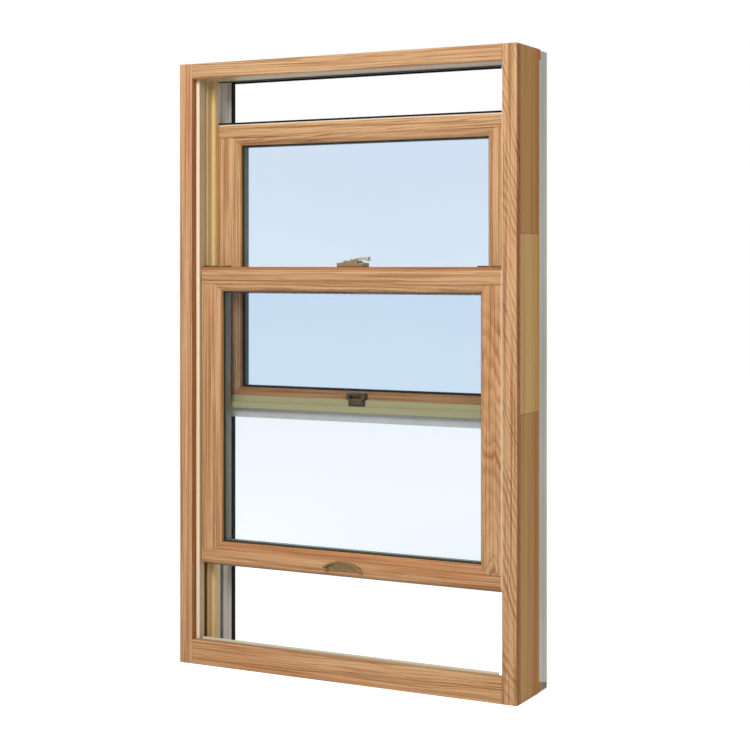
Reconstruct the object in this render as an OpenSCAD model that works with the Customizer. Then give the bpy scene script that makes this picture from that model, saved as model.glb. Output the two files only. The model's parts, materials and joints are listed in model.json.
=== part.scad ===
// Double-hung sash window in its own frame: oak inside, aluminium outside.
// Millimetres, Z up. X is across the window, +Y points outdoors, and Z = 0 is the foot of the jambs.
// The lower sash stands raised and the upper sash hangs lowered, so both gaps are open.

/* [Frame] */
// Width over the jambs
frame_w = 664; // [500:1:1000]
// Height over the jambs
frame_h = 1090; // [900:1:1600]
// Thickness of the pine jambs
jamb_t = 14; // [12:0.5:20]
// Thickness of the pine head
head_t = 10.6; // [9:0.1:14]

/* [Oak trim] */
// Depth of the oak face pieces
trim_d = 15; // [12:0.5:20]
// Width of the oak face on each jamb
jamb_trim_w = 27; // [24:0.5:30]
// Height of the oak face on the head
head_trim_h = 27.5; // [24:0.5:34]
// Height of the oak face on the sill
sill_trim_h = 44; // [40:0.5:46]
// Chamfer on the edges of the oak pieces
edge_cut = 1.2; // [0.6:0.1:2]

/* [Sill] */
// Fall of the sill towards the outside, in degrees
sill_angle = 14; // [8:0.5:15]
// Height of the sill's top at the lower sash
sill_h = 40; // [38:0.1:41]
// Height of the stop that stands on the sill
sill_stop_h = 7.5; // [6:0.1:8]
// Thickness of that stop
sill_stop_d = 3.5; // [3:0.1:3.6]
// Space between the sill stop and the liner at each end
sill_stop_gap = 7; // [2:0.5:12]

/* [Jamb liner] */
// Thickness of the liner, from the jamb to the track face
liner_t = 19.4; // [17:0.1:21]
// Wall of the liner
liner_wall = 1.6; // [1.2:0.1:2]
// Width of the slot that each shoe runs in
slot_w = 12; // [11:0.1:13]
// Slot centre of the lower track, behind the face of the sash
lower_slot = 18; // [17.5:0.1:19]
// Slot centre of the upper track, behind the face of the sash
upper_slot = 21; // [20:0.1:21.2]
// Height of the bead at the outer edge of the liner
liner_bead = 1.4; // [0.8:0.1:2]
// Wall of the covers in the upper half of the slots
cover_wall = 1.2; // [1:0.1:1.4]
// Depth of those covers
cover_d = 8.2; // [7.5:0.1:9]

/* [Parting stop] */
// Width of the stop between the two tracks
part_w = 13; // [11:0.5:14]
// How far it stands past the track face
part_h = 7; // [5:0.1:8]
// How deep it sits in the liner
part_seat = 8; // [6:0.1:9]

/* [Cladding] */
// Depth of the outer stop
outer_stop_d = 12; // [10:0.5:14]
// How far the outer stop stands past the track face
outer_stop_h = 9; // [7:0.1:10]
// Depth of the ridge outside the outer stop
clad_nose = 12; // [8:0.5:16]
// Wall of the aluminium
clad_wall = 1.5; // [1:0.1:2]
// How far the cladding laps on to the side of the jamb
clad_lap = 9.5; // [7:0.5:14]
// Space between the jamb's back and the outer stop
clad_step = 1.5; // [1:0.1:3]
// Length of jamb left bare at the ends of the lap
lap_end = 17.5; // [16:0.5:25]
// Distance of the head cladding below the top of the jambs
clad_drop = 2; // [1:0.5:4]
// Height of the outer stop on the head
head_stop_h = 18; // [17:0.5:22]
// Thickness of the pile strip on the outer stop
pile_t = 2; // [1.5:0.1:3]

/* [Sashes] */
// Thickness of both sashes
sash_t = 35; // [35:0.5:37]
// Flat face of the lower sash's stiles
lower_stile_flat = 28; // [26:0.5:36]
// Flat face of the upper sash's stiles
upper_stile_flat = 36; // [28:0.5:40]
// Chamfer on the outer front edges of the sashes
sash_edge = 2.5; // [1:0.1:3]
// Flat face of the lower sash's top rail
lower_top_flat = 30.5; // [28:0.5:36]
// Flat face of the lower sash's bottom rail
lower_bottom_flat = 24.5; // [22:0.5:40]
// Flat face of the upper sash's top rail
upper_top_flat = 25; // [22:0.5:34]
// Height of the flat part of the upper sash's check rail
check_flat = 40.6; // [40:0.1:41]
// Height of the aluminium bar under the check rail
check_bar = 17; // [14:0.5:20]
// Width of the moulding round the glass
ovolo_w = 14; // [12:0.5:16]
// Depth of the moulding round the glass
ovolo_d = 10; // [8:0.5:10.5]
// Small step where the moulding starts
quirk = 0.8; // [0.4:0.1:1.2]
// Thickness of the metal on the back of a sash
clad_t = 5.5; // [5:0.1:6]
// Height of the rounded top edge of the lower sash
top_round = 8; // [4:0.5:9]
// Distance of the lower sash above its closed place
lower_raise = 141.7; // [60:0.1:250]
// Distance of the upper sash below its closed place
upper_drop = 92.3; // [40:0.1:200]

/* [Glazing] */
// Thickness of each pane
pane_t = 3; // [3:0.5:4]
// Space between the panes
air_gap = 11; // [9:0.5:11.5]
// Depth of the glass edge in the rebate
glass_bite = 9; // [7:0.5:10]
// Space round the edge of the glass
edge_room = 1; // [0.5:0.1:2]
// Width of the spacer bar
spacer_w = 8; // [7:0.5:10]
// How much of the spacer shows past the wood
spacer_show = 3.3; // [2:0.1:4]
// Thickness of the gasket on the inner pane
gasket_t = 2; // [1:0.1:2]
// How much of the gasket shows past the wood
gasket_show = 1.2; // [0.5:0.1:1.5]
// Joint between the lengths of metal on the back of a sash
clad_joint = 0.2; // [0.1:0.1:0.4]

/* [Seals] */
// Thickness of the seal under the lower sash
bottom_seal_t = 1.2; // [1:0.1:2]
// Width of the seal under the lower sash
bottom_seal_w = 18; // [12:0.5:24]
// Thickness of the seal on top of the upper sash
top_seal_t = 3.4; // [2.6:0.1:3.6]
// Width of the seal on top of the upper sash
top_seal_w = 8; // [6:0.5:10]
// How far the upper step of the interlock stands out
lock_step_d = 6; // [4:0.5:7]
// How far the lower step of the interlock stands out
lock_lip_d = 12; // [9:0.5:14]

/* [Sash lock] */
// Length of the lock's base
lock_l = 54.5; // [50:0.5:64]
// Distance of the lock from the middle of the sash
lock_x = 4.3; // [0:0.1:6]
// Depth of the lock
lock_d = 24; // [23:0.5:25]
// Height of the base plate
lock_base_h = 7; // [6.8:0.1:7.4]
// Radius of the base plate's corners
lock_corner = 4; // [2:0.5:6]
// Length of the raised housing
housing_l = 27.5; // [24:0.5:34]
// Height of the housing above the sash
housing_h = 11; // [10.5:0.1:12]
// Radius of the housing's corners
housing_corner = 3; // [2:0.5:5]
// Distance of the pivot from the back of the sash
pivot_back = 8; // [7.5:0.1:8.5]
// Reach of the cam
cam_r = 18; // [17.5:0.1:18.5]
// Radius of the cam's tip
cam_tip_r = 5; // [4:0.1:5.2]
// Direction of the cam when the lever is unlocked, in degrees
cam_rest = 210; // [180:1:212]
// Thickness of the cam
cam_t = 3.6; // [3:0.1:3.8]
// Height of the cam's middle above the sash
cam_h = 4.2; // [4:0.1:4.4]
// Reach of the lever
lever_l = 30.5; // [26:0.5:34]
// Width of the lever
lever_w = 9; // [7:0.5:12]
// Height of the lever's top above the sash
lever_h = 17.6; // [17:0.1:19]
// Thickness of the lever
lever_t = 2.6; // [2:0.1:3]
// Diameter of the lock's spindle
spindle_d = 8; // [6:0.1:9]

/* [Keeper] */
// Width of the keeper
keeper_w = 36; // [32:0.5:44]
// Height of the keeper
keeper_h = 24; // [23:0.1:28]
// Height of the keeper's foot above the bottom of the sash
keeper_v = 29; // [29:0.1:30]
// How far the keeper stands out from the sash
keeper_d = 12.5; // [12.3:0.1:13.5]
// Width of the keeper's mouth
mouth_w = 24; // [20:0.5:28]
// Height of the keeper's mouth
mouth_h = 7.2; // [6.4:0.1:7.4]
// Height of the mouth's middle above the bottom of the sash
mouth_v = 45.8; // [45.6:0.1:46.4]

/* [Lift] */
// Width of the lift's lip
lift_w = 76; // [66:0.2:90]
// Height of the lift's lip
lift_h = 19; // [17:0.2:24]
// Radius of the lift's arch
lift_r = 62; // [52:1:90]
// How much the lip flares on each side
lift_flare = 6; // [3:0.1:7]
// How far the lift's lip stands out
lift_d = 13; // [10:0.5:18]
// Thickness of the lift's wall
lift_wall = 3; // [2.5:0.1:4]
// Height of the lift above the bottom of the sash
lift_v = 7.8; // [7:0.1:9]

/* [Tilt latches] */
// Length of a latch
latch_l = 50; // [48:0.5:60]
// Width of a latch plate
latch_w = 18; // [16:0.5:20]
// Thickness of a latch plate
latch_plate = 2.2; // [1.6:0.1:2.2]
// Radius of a latch plate's corners
latch_corner = 3; // [2:0.5:6]
// Depth of the latch body in the rail
latch_d = 9; // [8.6:0.1:11]
// Width of a bolt
bolt_w = 8; // [7:0.1:8.4]
// Height of a bolt
bolt_h = 6; // [5:0.1:6.4]
// Length of a bolt
bolt_l = 40; // [36:0.5:42]
// How far a bolt stands out of the sash
bolt_out = 5.5; // [4:0.1:5.8]
// Travel of a bolt
bolt_travel = 8; // [6:0.1:8]
// Depth of a bolt's top below the top of its plate
bolt_top = 1.4; // [1.3:0.1:1.5]
// Distance of a thumb tab from the edge of the sash
tab_x = 12; // [10:0.5:14]
// Length of a thumb tab
tab_l = 10; // [8:0.5:12]
// Width of a thumb tab
tab_w = 5; // [4:0.1:6]

/* [Balances] */
// Outer diameter of a balance tube
tube_d = 9.5; // [8:0.1:9.8]
// Bore of a balance tube
tube_bore = 7; // [6:0.1:7.5]
// Diameter of a balance rod
rod_d = 4; // [3:0.1:5]
// Height of a shoe
shoe_h = 30; // [24:1:40]
// Width of the arm that joins the shoe to the sash
arm_w = 9; // [7:0.1:10]
// Distance of a tube's top below the head
tube_inset = 6; // [4:0.5:12]
// Space between a tube and a shoe at the top of its travel
tube_room = 12; // [6:0.5:20]
// Length of rod that stays in a tube
rod_hold = 10; // [6:0.5:20]

/* [Clearances] */
// Space between a sash and the track face
side_gap = 1; // [0.6:0.1:1.5]
// Distance of the lower sash behind the oak face pieces
front_gap = 4; // [4:0.1:5]
// Space between a sash and the parting stop
part_gap = 1.5; // [1.5:0.1:2.5]
// Space between the upper sash and the outer stop
stop_gap = 4; // [3.5:0.1:5]
// Space between parts that slide on each other
run_gap = 0.3; // [0.3:0.05:0.4]
// Space round the lock's spindle
spindle_gap = 0.1; // [0.05:0.05:0.2]
// Space over the lever when the lower sash is fully raised
stop_room = 3; // [2:0.5:10]
// Space over the sill when the upper sash is fully lowered
sill_room = 32; // [20:1:60]
// Space between a tube's foot and the slot's cover
cover_room = 20; // [10:1:40]

/* [Hidden] */
$fn = 64;
// How far a cut runs past the face that it opens
over = 1;

oak = [0.76, 0.58, 0.40];
pine = [0.68, 0.53, 0.35];
vinyl = [0.66, 0.57, 0.42];
cream = [0.93, 0.87, 0.74];
gold = [0.80, 0.65, 0.40];
grey = [0.68, 0.67, 0.64];
black = [0.07, 0.07, 0.06];
bronze = [0.36, 0.29, 0.18];
steel = [0.62, 0.62, 0.60];
clear = [0.80, 0.89, 0.95, 0.4];

// Depths behind the oak face, from the room outwards
lower_face = trim_d + front_gap;
lower_back = lower_face + sash_t;
part_face = lower_back + part_gap;
part_back = part_face + part_w;
upper_face = part_back + part_gap;
upper_back = upper_face + sash_t;
stop_face = upper_back + stop_gap;
stop_back = stop_face + outer_stop_d;
frame_d = stop_back + clad_nose;
jamb_back = stop_face - clad_step;
lap_face = jamb_back - clad_lap;
lower_slot_d = lower_face + lower_slot;
upper_slot_d = upper_face + upper_slot;

// Distances in from the side of the frame
track_x = jamb_t + liner_t;
part_x = track_x + part_h;
stop_x = track_x + outer_stop_h;
sash_x = track_x + side_gap;
channel_x = jamb_t + liner_wall;

// Sash sizes and places
sash_w = frame_w - 2 * sash_x;
sill_fall = tan(sill_angle);
head_z = frame_h - head_t;
lower_closed = sill_h + bottom_seal_t + run_gap;
lock_rise = cam_h - mouth_v;
sash_room = head_z - run_gap - top_seal_t - lower_closed - lock_rise;
sash_h = sash_room / 2;
lower_z = lower_closed + lower_raise;
upper_z = lower_closed + sash_h + lock_rise - upper_drop;
head_liner_z = frame_h - head_trim_h;

// Sash section
wood_t = sash_t - clad_t;
land_t = wood_t - 2 * pane_t - air_gap;
rebate_w = glass_bite + edge_room;
clad_t0 = wood_t + run_gap;

// Flat widths of each sash: stiles, bottom rail, top rail
lower_flats = [lower_stile_flat, lower_bottom_flat, lower_top_flat];
upper_flats = [upper_stile_flat, check_flat, upper_top_flat];

// Latch, lever and shoe sizes
plate_lap = 1.5;
latch_body_w = latch_w - 2 * plate_lap;
bolt_z = sash_h + latch_plate - bolt_top - bolt_h;
lever_foot = housing_h + run_gap;
lever_rise = lever_h - lever_foot - lever_t;
shoe_x0 = channel_x + run_gap;
shoe_x1 = track_x - liner_wall - run_gap;
tube_x = channel_x + run_gap + tube_d / 2;
lower_tube_d = part_face - liner_wall - run_gap - tube_d / 2;
upper_tube_d = part_back + liner_wall + run_gap + tube_d / 2;
lower_top_z = head_liner_z - lever_h - stop_room;
lower_tube_z = lower_top_z - sash_h + shoe_h + tube_room;
upper_tube_z = lower_closed + sash_h + lock_rise + shoe_h + tube_room;
upper_low_z = sill_top(upper_face) + sill_room;
lower_rod_top = lower_tube_z + rod_hold - lower_closed;
upper_rod_top = upper_tube_z + rod_hold - upper_low_z;
lower_cover_z = lower_tube_z + cover_room;
upper_cover_z = upper_tube_z + cover_room;

// Height of the sill's top at a depth behind the oak face
function sill_top(d) = sill_h - max(0, d - lower_face) * sill_fall;

// Points of the quarter-round moulding, as [depth, distance from the edge]
function ovolo(flat) = [for (a = [0 : 15 : 90])
    [quirk + (ovolo_d - quirk) * (1 - cos(a)), flat + ovolo_w * sin(a)]];

// Outline of a wooden sash member, as [depth, distance from the edge]
function member_outline(flat, foot, fall) = concat(
    [[sash_edge, foot - sash_edge * fall], [0, foot + sash_edge], [0, flat]],
    ovolo(flat),
    [[land_t, flat + ovolo_w],
     [land_t, flat + ovolo_w - rebate_w],
     [wood_t, flat + ovolo_w - rebate_w],
     [wood_t, foot - wood_t * fall]]);

// Extrudes a plan outline, drawn as [distance in from the left, depth]
module plan(z0, z1) {
    translate([-frame_w / 2, -frame_d / 2, z0]) linear_extrude(z1 - z0) children();
}

// Extrudes a side outline, drawn as [depth, height], across the window
module across(x0, x1) {
    translate([x0 - frame_w / 2, -frame_d / 2, 0]) rotate([90, 0, 90]) linear_extrude(x1 - x0) children();
}

// Draws its children again on the other side of the window
module other_side() {
    mirror([1, 0, 0]) children();
}

// Puts a sash drawn from its lower left front corner in its track
module lower_place() {
    translate([-sash_w / 2, lower_face - frame_d / 2, lower_z]) children();
}

module upper_place() {
    translate([-sash_w / 2, upper_face - frame_d / 2, upper_z]) children();
}

// A rectangle given by two corners
module span(a, b) {
    translate(a) square(b - a);
}

// A block given by two corners
module block(a, b) {
    translate(a) cube(b - a);
}

// A rectangle with round corners, centred on the origin
module round_plate(l, w, r) {
    square([l - 2 * r, w], center = true);
    square([l, w - 2 * r], center = true);
    for (sx = [-1, 1], sy = [-1, 1])
        translate([sx * (l / 2 - r), sy * (w / 2 - r)]) circle(r);
}

// A bar with its two front edges chamfered, as [width, depth]
module trim_outline(w) {
    polygon([[edge_cut, 0], [w - edge_cut, 0], [w, edge_cut], [w, trim_d], [0, trim_d], [0, edge_cut]]);
}

// Pine jamb with a rabbet at the back for the cladding
module jamb_solid() {
    plan(0, frame_h) difference() {
        span([0, trim_d], [jamb_t, jamb_back]);
        span([-over, lap_face], [clad_wall, jamb_back + over]);
    }
}

module left_jamb() { color(pine) jamb_solid(); }
module right_jamb() { color(pine) other_side() jamb_solid(); }

module head_jamb() {
    color(pine) across(jamb_t, frame_w - jamb_t) span([trim_d, head_z], [jamb_back, frame_h]);
}

// Sloped pine sill with a seat for the metal skin of its outer half
module sill() {
    color(pine) difference() {
        across(jamb_t, frame_w - jamb_t) polygon([
            [trim_d, 0], [jamb_back, 0], [jamb_back, sill_top(jamb_back)], [lower_face, sill_h], [trim_d, sill_h]]);
        across(track_x, frame_w - track_x) sill_skin();
    }
}

// Oak face pieces: the jambs run full height, the head and sill fit between them
module jamb_trim_solid() {
    plan(0, frame_h) trim_outline(jamb_trim_w);
}

module left_face_trim() { color(oak) jamb_trim_solid(); }
module right_face_trim() { color(oak) other_side() jamb_trim_solid(); }

module head_face_trim() {
    color(oak) across(jamb_trim_w, frame_w - jamb_trim_w)
        translate([0, frame_h - head_trim_h]) mirror([1, -1]) trim_outline(head_trim_h);
}

module sill_face_trim() {
    color(oak) across(jamb_trim_w, frame_w - jamb_trim_w) mirror([1, -1]) trim_outline(sill_trim_h);
}

// Hollow liner with a shoe channel and a slot for each sash, and a bead at its outer edge
module liner_outline() {
    upper_channel = part_back + liner_wall;
    bead_face = stop_face - stop_gap + 2 * run_gap;
    difference() {
        union() {
            span([jamb_t, trim_d], [track_x, stop_face]);
            span([jamb_t, bead_face], [track_x + liner_bead, stop_face]);
        }
        span([channel_x, trim_d + liner_wall], [track_x - liner_wall, part_face - liner_wall]);
        span([track_x - part_seat, part_face], [track_x + over, part_back]);
        span([channel_x, upper_channel], [track_x - liner_wall, stop_face - liner_wall]);
        for (slot_d = [lower_slot_d, upper_slot_d])
            translate([track_x, slot_d]) square([3 * liner_wall, slot_w], center = true);
    }
}

// Cuts a piece of the left side to stand on the sloped sill
module on_sill() {
    intersection() {
        children();
        across(0, frame_w / 2) polygon([
            [trim_d, sill_h], [lower_face, sill_h], [frame_d, sill_top(frame_d)], [frame_d, frame_h], [trim_d, frame_h]]);
    }
}

// Side view of the room a liner fills between the sill and the head
module liner_side() {
    polygon([
        [trim_d, sill_h], [lower_face, sill_h], [stop_face, sill_top(stop_face)],
        [stop_face, head_z], [part_back, head_z], [part_back, head_liner_z], [trim_d, head_liner_z]]);
}

module liner_solid() {
    intersection() {
        plan(0, frame_h) liner_outline();
        across(0, frame_w / 2) liner_side();
    }
}

module left_liner() { color(vinyl) liner_solid(); }
module right_liner() { color(vinyl) other_side() liner_solid(); }

// Channel-shaped cover in a slot above the raised shoe
module track_cover(slot_d, z0, z1) {
    outer_w = slot_w - 2 * run_gap;
    plan(z0, z1) translate([track_x - cover_d, slot_d]) difference() {
        translate([0, -outer_w / 2]) square([cover_d, outer_w]);
        translate([cover_wall, cover_wall - outer_w / 2]) square([cover_d, outer_w - 2 * cover_wall]);
    }
}

module track_cover_pair() {
    track_cover(lower_slot_d, lower_cover_z, head_liner_z);
    track_cover(upper_slot_d, upper_cover_z, head_z);
}

module left_track_cover() { color(vinyl) track_cover_pair(); }
module right_track_cover() { color(vinyl) other_side() track_cover_pair(); }

// Stop between the two tracks, pressed in the liner and rounded on its inner edge
module parting_stop_solid() {
    round_r = part_h / 2;
    seat_x = track_x - part_seat;
    on_sill() plan(0, head_liner_z) polygon(concat(
        [[part_x, part_back], [seat_x, part_back], [seat_x, part_face]],
        [for (a = [0 : 15 : 90]) [part_x, part_face] + round_r * [sin(a) - 1, 1 - cos(a)]]));
}

module left_parting_stop() { color(gold) parting_stop_solid(); }
module right_parting_stop() { color(gold) other_side() parting_stop_solid(); }

// Hollow liner under the head, in front of the upper sash, with a lip at its outer edge
module head_liner() {
    lip = 2;
    lip_x = part_x + part_gap;
    color(vinyl) {
        across(jamb_t, frame_w - jamb_t) difference() {
            span([trim_d, head_liner_z], [part_back, head_z]);
            for (cell = [[trim_d, part_face], [part_face, part_back]])
                span([cell[0] + liner_wall, head_liner_z + liner_wall], [cell[1] - liner_wall / 2, head_z - liner_wall]);
        }
        across(lip_x, frame_w - lip_x) span([part_back - lip, head_liner_z - lip], [part_back, head_liner_z + liner_wall / 2]);
    }
}

// Stop on the sill that the lower sash closes behind
module sill_stop() {
    inset = track_x + sill_stop_gap;
    color(cream) across(inset, frame_w - inset) translate([trim_d, sill_h]) polygon([
        [0, 0], [sill_stop_d, 0], [sill_stop_d, sill_stop_h], [edge_cut, sill_stop_h], [0, sill_stop_h - edge_cut]]);
}

// Hollow aluminium stop and ridge outside the upper sash, drawn as [distance in from the edge, depth]
module outer_stop_outline(inner, foot) {
    difference() {
        union() {
            span([0, jamb_back], [foot, frame_d]);
            span([foot / 2, stop_face], [inner, stop_back]);
        }
        span([clad_wall, jamb_back - over], [foot - clad_wall, frame_d - clad_wall]);
        span([foot - 2 * clad_wall, stop_face + clad_wall], [inner - clad_wall, stop_back - clad_wall]);
    }
}

module jamb_cladding_solid() {
    plan(lap_end, frame_h - lap_end) span([0, lap_face], [clad_wall, jamb_back]);
    on_sill() plan(0, frame_h - clad_drop) outer_stop_outline(stop_x, jamb_t);
}

module left_cladding() { color(grey) jamb_cladding_solid(); }
module right_cladding() { color(grey) other_side() jamb_cladding_solid(); }

module head_cladding() {
    clad_top = frame_h - clad_drop;
    color(grey) across(stop_x, frame_w - stop_x)
        translate([0, clad_top]) rotate(-90) outer_stop_outline(head_stop_h, clad_top - head_z);
}

// Metal skin on the outer half of the sill
module sill_skin() {
    skin_face = part_back + run_gap;
    polygon([
        [skin_face, sill_top(skin_face) - clad_wall], [jamb_back, sill_top(jamb_back) - clad_wall],
        [jamb_back, sill_top(jamb_back)], [skin_face, sill_top(skin_face)]]);
}

// Hollow nosing that runs under the jamb cladding, with the skin that reaches up the sill
module sill_cladding() {
    foot = 0.7;
    mid = (jamb_back + frame_d) / 2;
    color(grey) {
        across(track_x, frame_w - track_x) sill_skin();
        across(0, frame_w) difference() {
            polygon([[jamb_back, foot], [frame_d, foot], [frame_d, sill_top(frame_d)], [jamb_back, sill_top(jamb_back)]]);
            for (cell = [[jamb_back + clad_wall, mid - clad_wall / 2], [mid + clad_wall / 2, frame_d - clad_wall]])
                polygon([
                    [cell[0], foot + clad_wall], [cell[1], foot + clad_wall],
                    [cell[1], sill_top(cell[1]) - clad_wall], [cell[0], sill_top(cell[0]) - clad_wall]]);
        }
    }
}

// Black pile on the inner faces of the outer stop
module frame_weatherstrip() {
    pile_inset = 0.8;
    head_foot = frame_h - clad_drop - head_stop_h;
    pile_face = stop_face + pile_inset;
    pile_back = stop_back - pile_inset;
    head_pile_t = 4.5;
    color(black) {
        for (side = [0, 1]) mirror([side, 0, 0]) on_sill()
            plan(0, head_foot) span([stop_x, pile_face], [stop_x + pile_t, pile_back]);
        head_end = stop_x + pile_t + clad_joint;
        across(head_end, frame_w - head_end) span([pile_face, head_foot - head_pile_t], [pile_back, head_foot]);
    }
}

// Pair of spring tubes that hang in the liner channels
module tube_pair(tube_depth, z0, z1) {
    for (side = [0, 1]) mirror([side, 0, 0]) plan(z0, z1) translate([tube_x, tube_depth]) difference() {
        circle(d = tube_d);
        circle(d = tube_bore);
    }
}

module lower_balance_tubes() {
    color(steel) tube_pair(lower_tube_d, lower_tube_z, head_liner_z - tube_inset);
}

module upper_balance_tubes() {
    color(steel) tube_pair(upper_tube_d, upper_tube_z, head_z - tube_inset);
}

// Rail that runs the full width, with its moulding mitred and its front corners chamfered at both ends
module rail(flat, foot, fall, side) {
    under = foot - sash_t * fall - over;
    inner = flat + ovolo_w;
    difference() {
        intersection() {
            rotate([90, 0, 90]) linear_extrude(sash_w) polygon(member_outline(flat, foot, fall));
            translate([0, sash_t, 0]) rotate([90, 0, 0]) linear_extrude(sash_t) polygon([
                [0, under], [sash_w, under], [sash_w, flat], [sash_w - side, flat],
                [sash_w - side - ovolo_w, inner], [side + ovolo_w, inner],
                [side, flat], [0, flat]]);
        }
        for (end = [0, 1]) translate([end * sash_w, 0, under]) mirror([end, 0, 0])
            linear_extrude(inner - under) polygon([[-over, -over], [sash_edge + over, -over], [-over, sash_edge + over]]);
    }
}

// Turns a rail drawn at the bottom of the sash to its top
module to_top() {
    translate([0, 0, sash_h]) mirror([0, 0, 1]) children();
}

// Stile that fits between the rails, with its moulding mitred at both ends
module stile(flats) {
    side = flats[0];
    bottom = flats[1];
    top = sash_h - flats[2];
    inner = side + ovolo_w;
    intersection() {
        linear_extrude(sash_h) mirror([1, -1]) polygon(member_outline(side, 0, 0));
        translate([0, sash_t, 0]) rotate([90, 0, 0]) linear_extrude(sash_t) polygon([
            [0, bottom], [side, bottom], [inner, bottom + ovolo_w],
            [inner, top - ovolo_w], [side, top], [0, top]]);
    }
}

// Mirrors a piece of a sash to its right-hand side
module sash_right() {
    translate([sash_w, 0, 0]) mirror([1, 0, 0]) children();
}

// A flat sheet or ring inside the sash, a distance out from the edge of the wood
module glazing(flats, out, t0, t1) {
    side = flats[0] + ovolo_w - out;
    translate([0, t1, 0]) rotate([90, 0, 0]) linear_extrude(t1 - t0)
        span([side, flats[1] + ovolo_w - out], [sash_w - side, sash_h - flats[2] - ovolo_w + out]);
}

module glazing_ring(flats, out, show, t0, t1) {
    difference() {
        glazing(flats, out, t0, t1);
        glazing(flats, -show, t0 - over, t1 + over);
    }
}

module inner_pane_solid(flats) {
    color(clear) glazing(flats, glass_bite, land_t, land_t + pane_t);
}

module outer_pane_solid(flats) {
    color(clear) glazing(flats, glass_bite, wood_t - pane_t, wood_t);
}

module spacer_solid(flats) {
    color(steel) glazing_ring(flats, spacer_w - spacer_show, spacer_show, land_t + pane_t, wood_t - pane_t);
}

// Gasket that fills the corner between the moulding and the inner pane
module gasket_solid(flats) {
    color(black) glazing_ring(flats, 0, gasket_show, land_t - gasket_t, land_t);
}

// Outline of the metal on the back of a sash, as [depth, distance from the edge]
module clad_bar_outline(flat, foot, fall) {
    inner = flat + ovolo_w + gasket_show;
    outer_edge = 1;
    glass_slope = 5;
    polygon([
        [clad_t0, foot - clad_t0 * fall], [clad_t0, inner], [clad_t0 + clad_wall, inner],
        [sash_t, inner - glass_slope], [sash_t, foot + outer_edge - sash_t * fall],
        [sash_t - outer_edge, foot - (sash_t - outer_edge) * fall]]);
}

module clad_rail(flat, foot, fall) {
    rotate([90, 0, 90]) linear_extrude(sash_w) clad_bar_outline(flat, foot, fall);
}

module clad_stiles(flats) {
    bottom = flats[1] + ovolo_w + gasket_show + clad_joint;
    top = sash_h - flats[2] - ovolo_w - gasket_show - clad_joint;
    for (side = [0, 1]) translate([side * sash_w, 0, 0]) mirror([side, 0, 0])
        translate([0, 0, bottom]) linear_extrude(top - bottom) mirror([1, -1]) clad_bar_outline(flats[0], 0, 0);
}

// Pocket in a rail for the body of a tilt latch, at both ends
module latch_pockets(slot_depth) {
    for (side = [0, 1]) translate([side * sash_w, 0, 0]) mirror([side, 0, 0])
        block([-over, slot_depth - latch_body_w / 2 - run_gap, sash_h - latch_d - run_gap],
              [latch_l + run_gap, slot_depth + latch_body_w / 2 + run_gap, sash_h + over]);
}

// Latch body let in the rail under its plate, with a way for the bolt and a slot for its thumb tab
module latch_housing(slot_depth) {
    end_wall = 3.5;
    translate([0, slot_depth, 0]) difference() {
        union() {
            block([0, -latch_body_w / 2, sash_h - latch_d], [latch_l, latch_body_w / 2, sash_h]);
            translate([latch_l / 2, 0, sash_h]) linear_extrude(latch_plate) round_plate(latch_l, latch_w, latch_corner);
        }
        block([-over, -bolt_w / 2 - run_gap, bolt_z - run_gap],
              [latch_l - end_wall, bolt_w / 2 + run_gap, bolt_z + bolt_h + run_gap]);
        block([tab_x - run_gap, -tab_w / 2 - run_gap, bolt_z],
              [tab_x + tab_l + bolt_travel + 2 * run_gap, tab_w / 2 + run_gap, sash_h + latch_plate + over]);
    }
}

module latch_housing_pair(slot_depth) {
    latch_housing(slot_depth);
    sash_right() latch_housing(slot_depth);
}

// Spring bolt that keys the sash in its slot, with the tab that draws it back
module latch_bolt(slot_depth) {
    translate([0, slot_depth, 0]) {
        block([-bolt_out, -bolt_w / 2, bolt_z], [bolt_l - bolt_out, bolt_w / 2, bolt_z + bolt_h]);
        block([tab_x, -tab_w / 2, bolt_z], [tab_x + tab_l, tab_w / 2, sash_h + latch_plate + run_gap]);
    }
}

// Shoe in the liner channel with its arm to the sash and the rod that runs up in the tube
module shoe(slot_depth, tube_depth, rod_top) {
    arm_h = 14;
    shoe_v = 2;
    shoe_lap = 2;
    edge = tube_d / 2 - run_gap;
    x0 = shoe_x0 - sash_x;
    x1 = shoe_x1 - sash_x;
    reach = slot_w / 2 + shoe_lap;
    far = slot_depth < tube_depth ? slot_depth - reach : slot_depth + reach;
    near = slot_depth < tube_depth ? tube_depth + edge : tube_depth - edge;
    block([x0, min(far, near), shoe_v], [x1, max(far, near), shoe_v + shoe_h]);
    block([x0, slot_depth - arm_w / 2, shoe_v + shoe_h / 2 - arm_h / 2],
          [0, slot_depth + arm_w / 2, shoe_v + shoe_h / 2 + arm_h / 2]);
    translate([tube_x - sash_x, tube_depth, shoe_v]) cylinder(d = rod_d, h = rod_top - shoe_v);
}

module lower_shoe_solid() { shoe(lower_slot, lower_tube_d - lower_face, lower_rod_top); }
module upper_shoe_solid() { shoe(upper_slot, upper_tube_d - upper_face, upper_rod_top); }

// Lower sash

// The top rail has a rounded upper edge towards the room and pockets for the latches
module lower_top_rail() {
    color(oak) lower_place() difference() {
        to_top() rail(lower_top_flat, 0, 0, lower_stile_flat);
        translate([-over, 0, sash_h]) rotate([90, 0, 90]) linear_extrude(sash_w + 2 * over) difference() {
            translate([-over, -top_round]) square([top_round + over, top_round + over]);
            translate([top_round, -top_round]) circle(top_round);
        }
        latch_pockets(lower_slot);
    }
}

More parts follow.
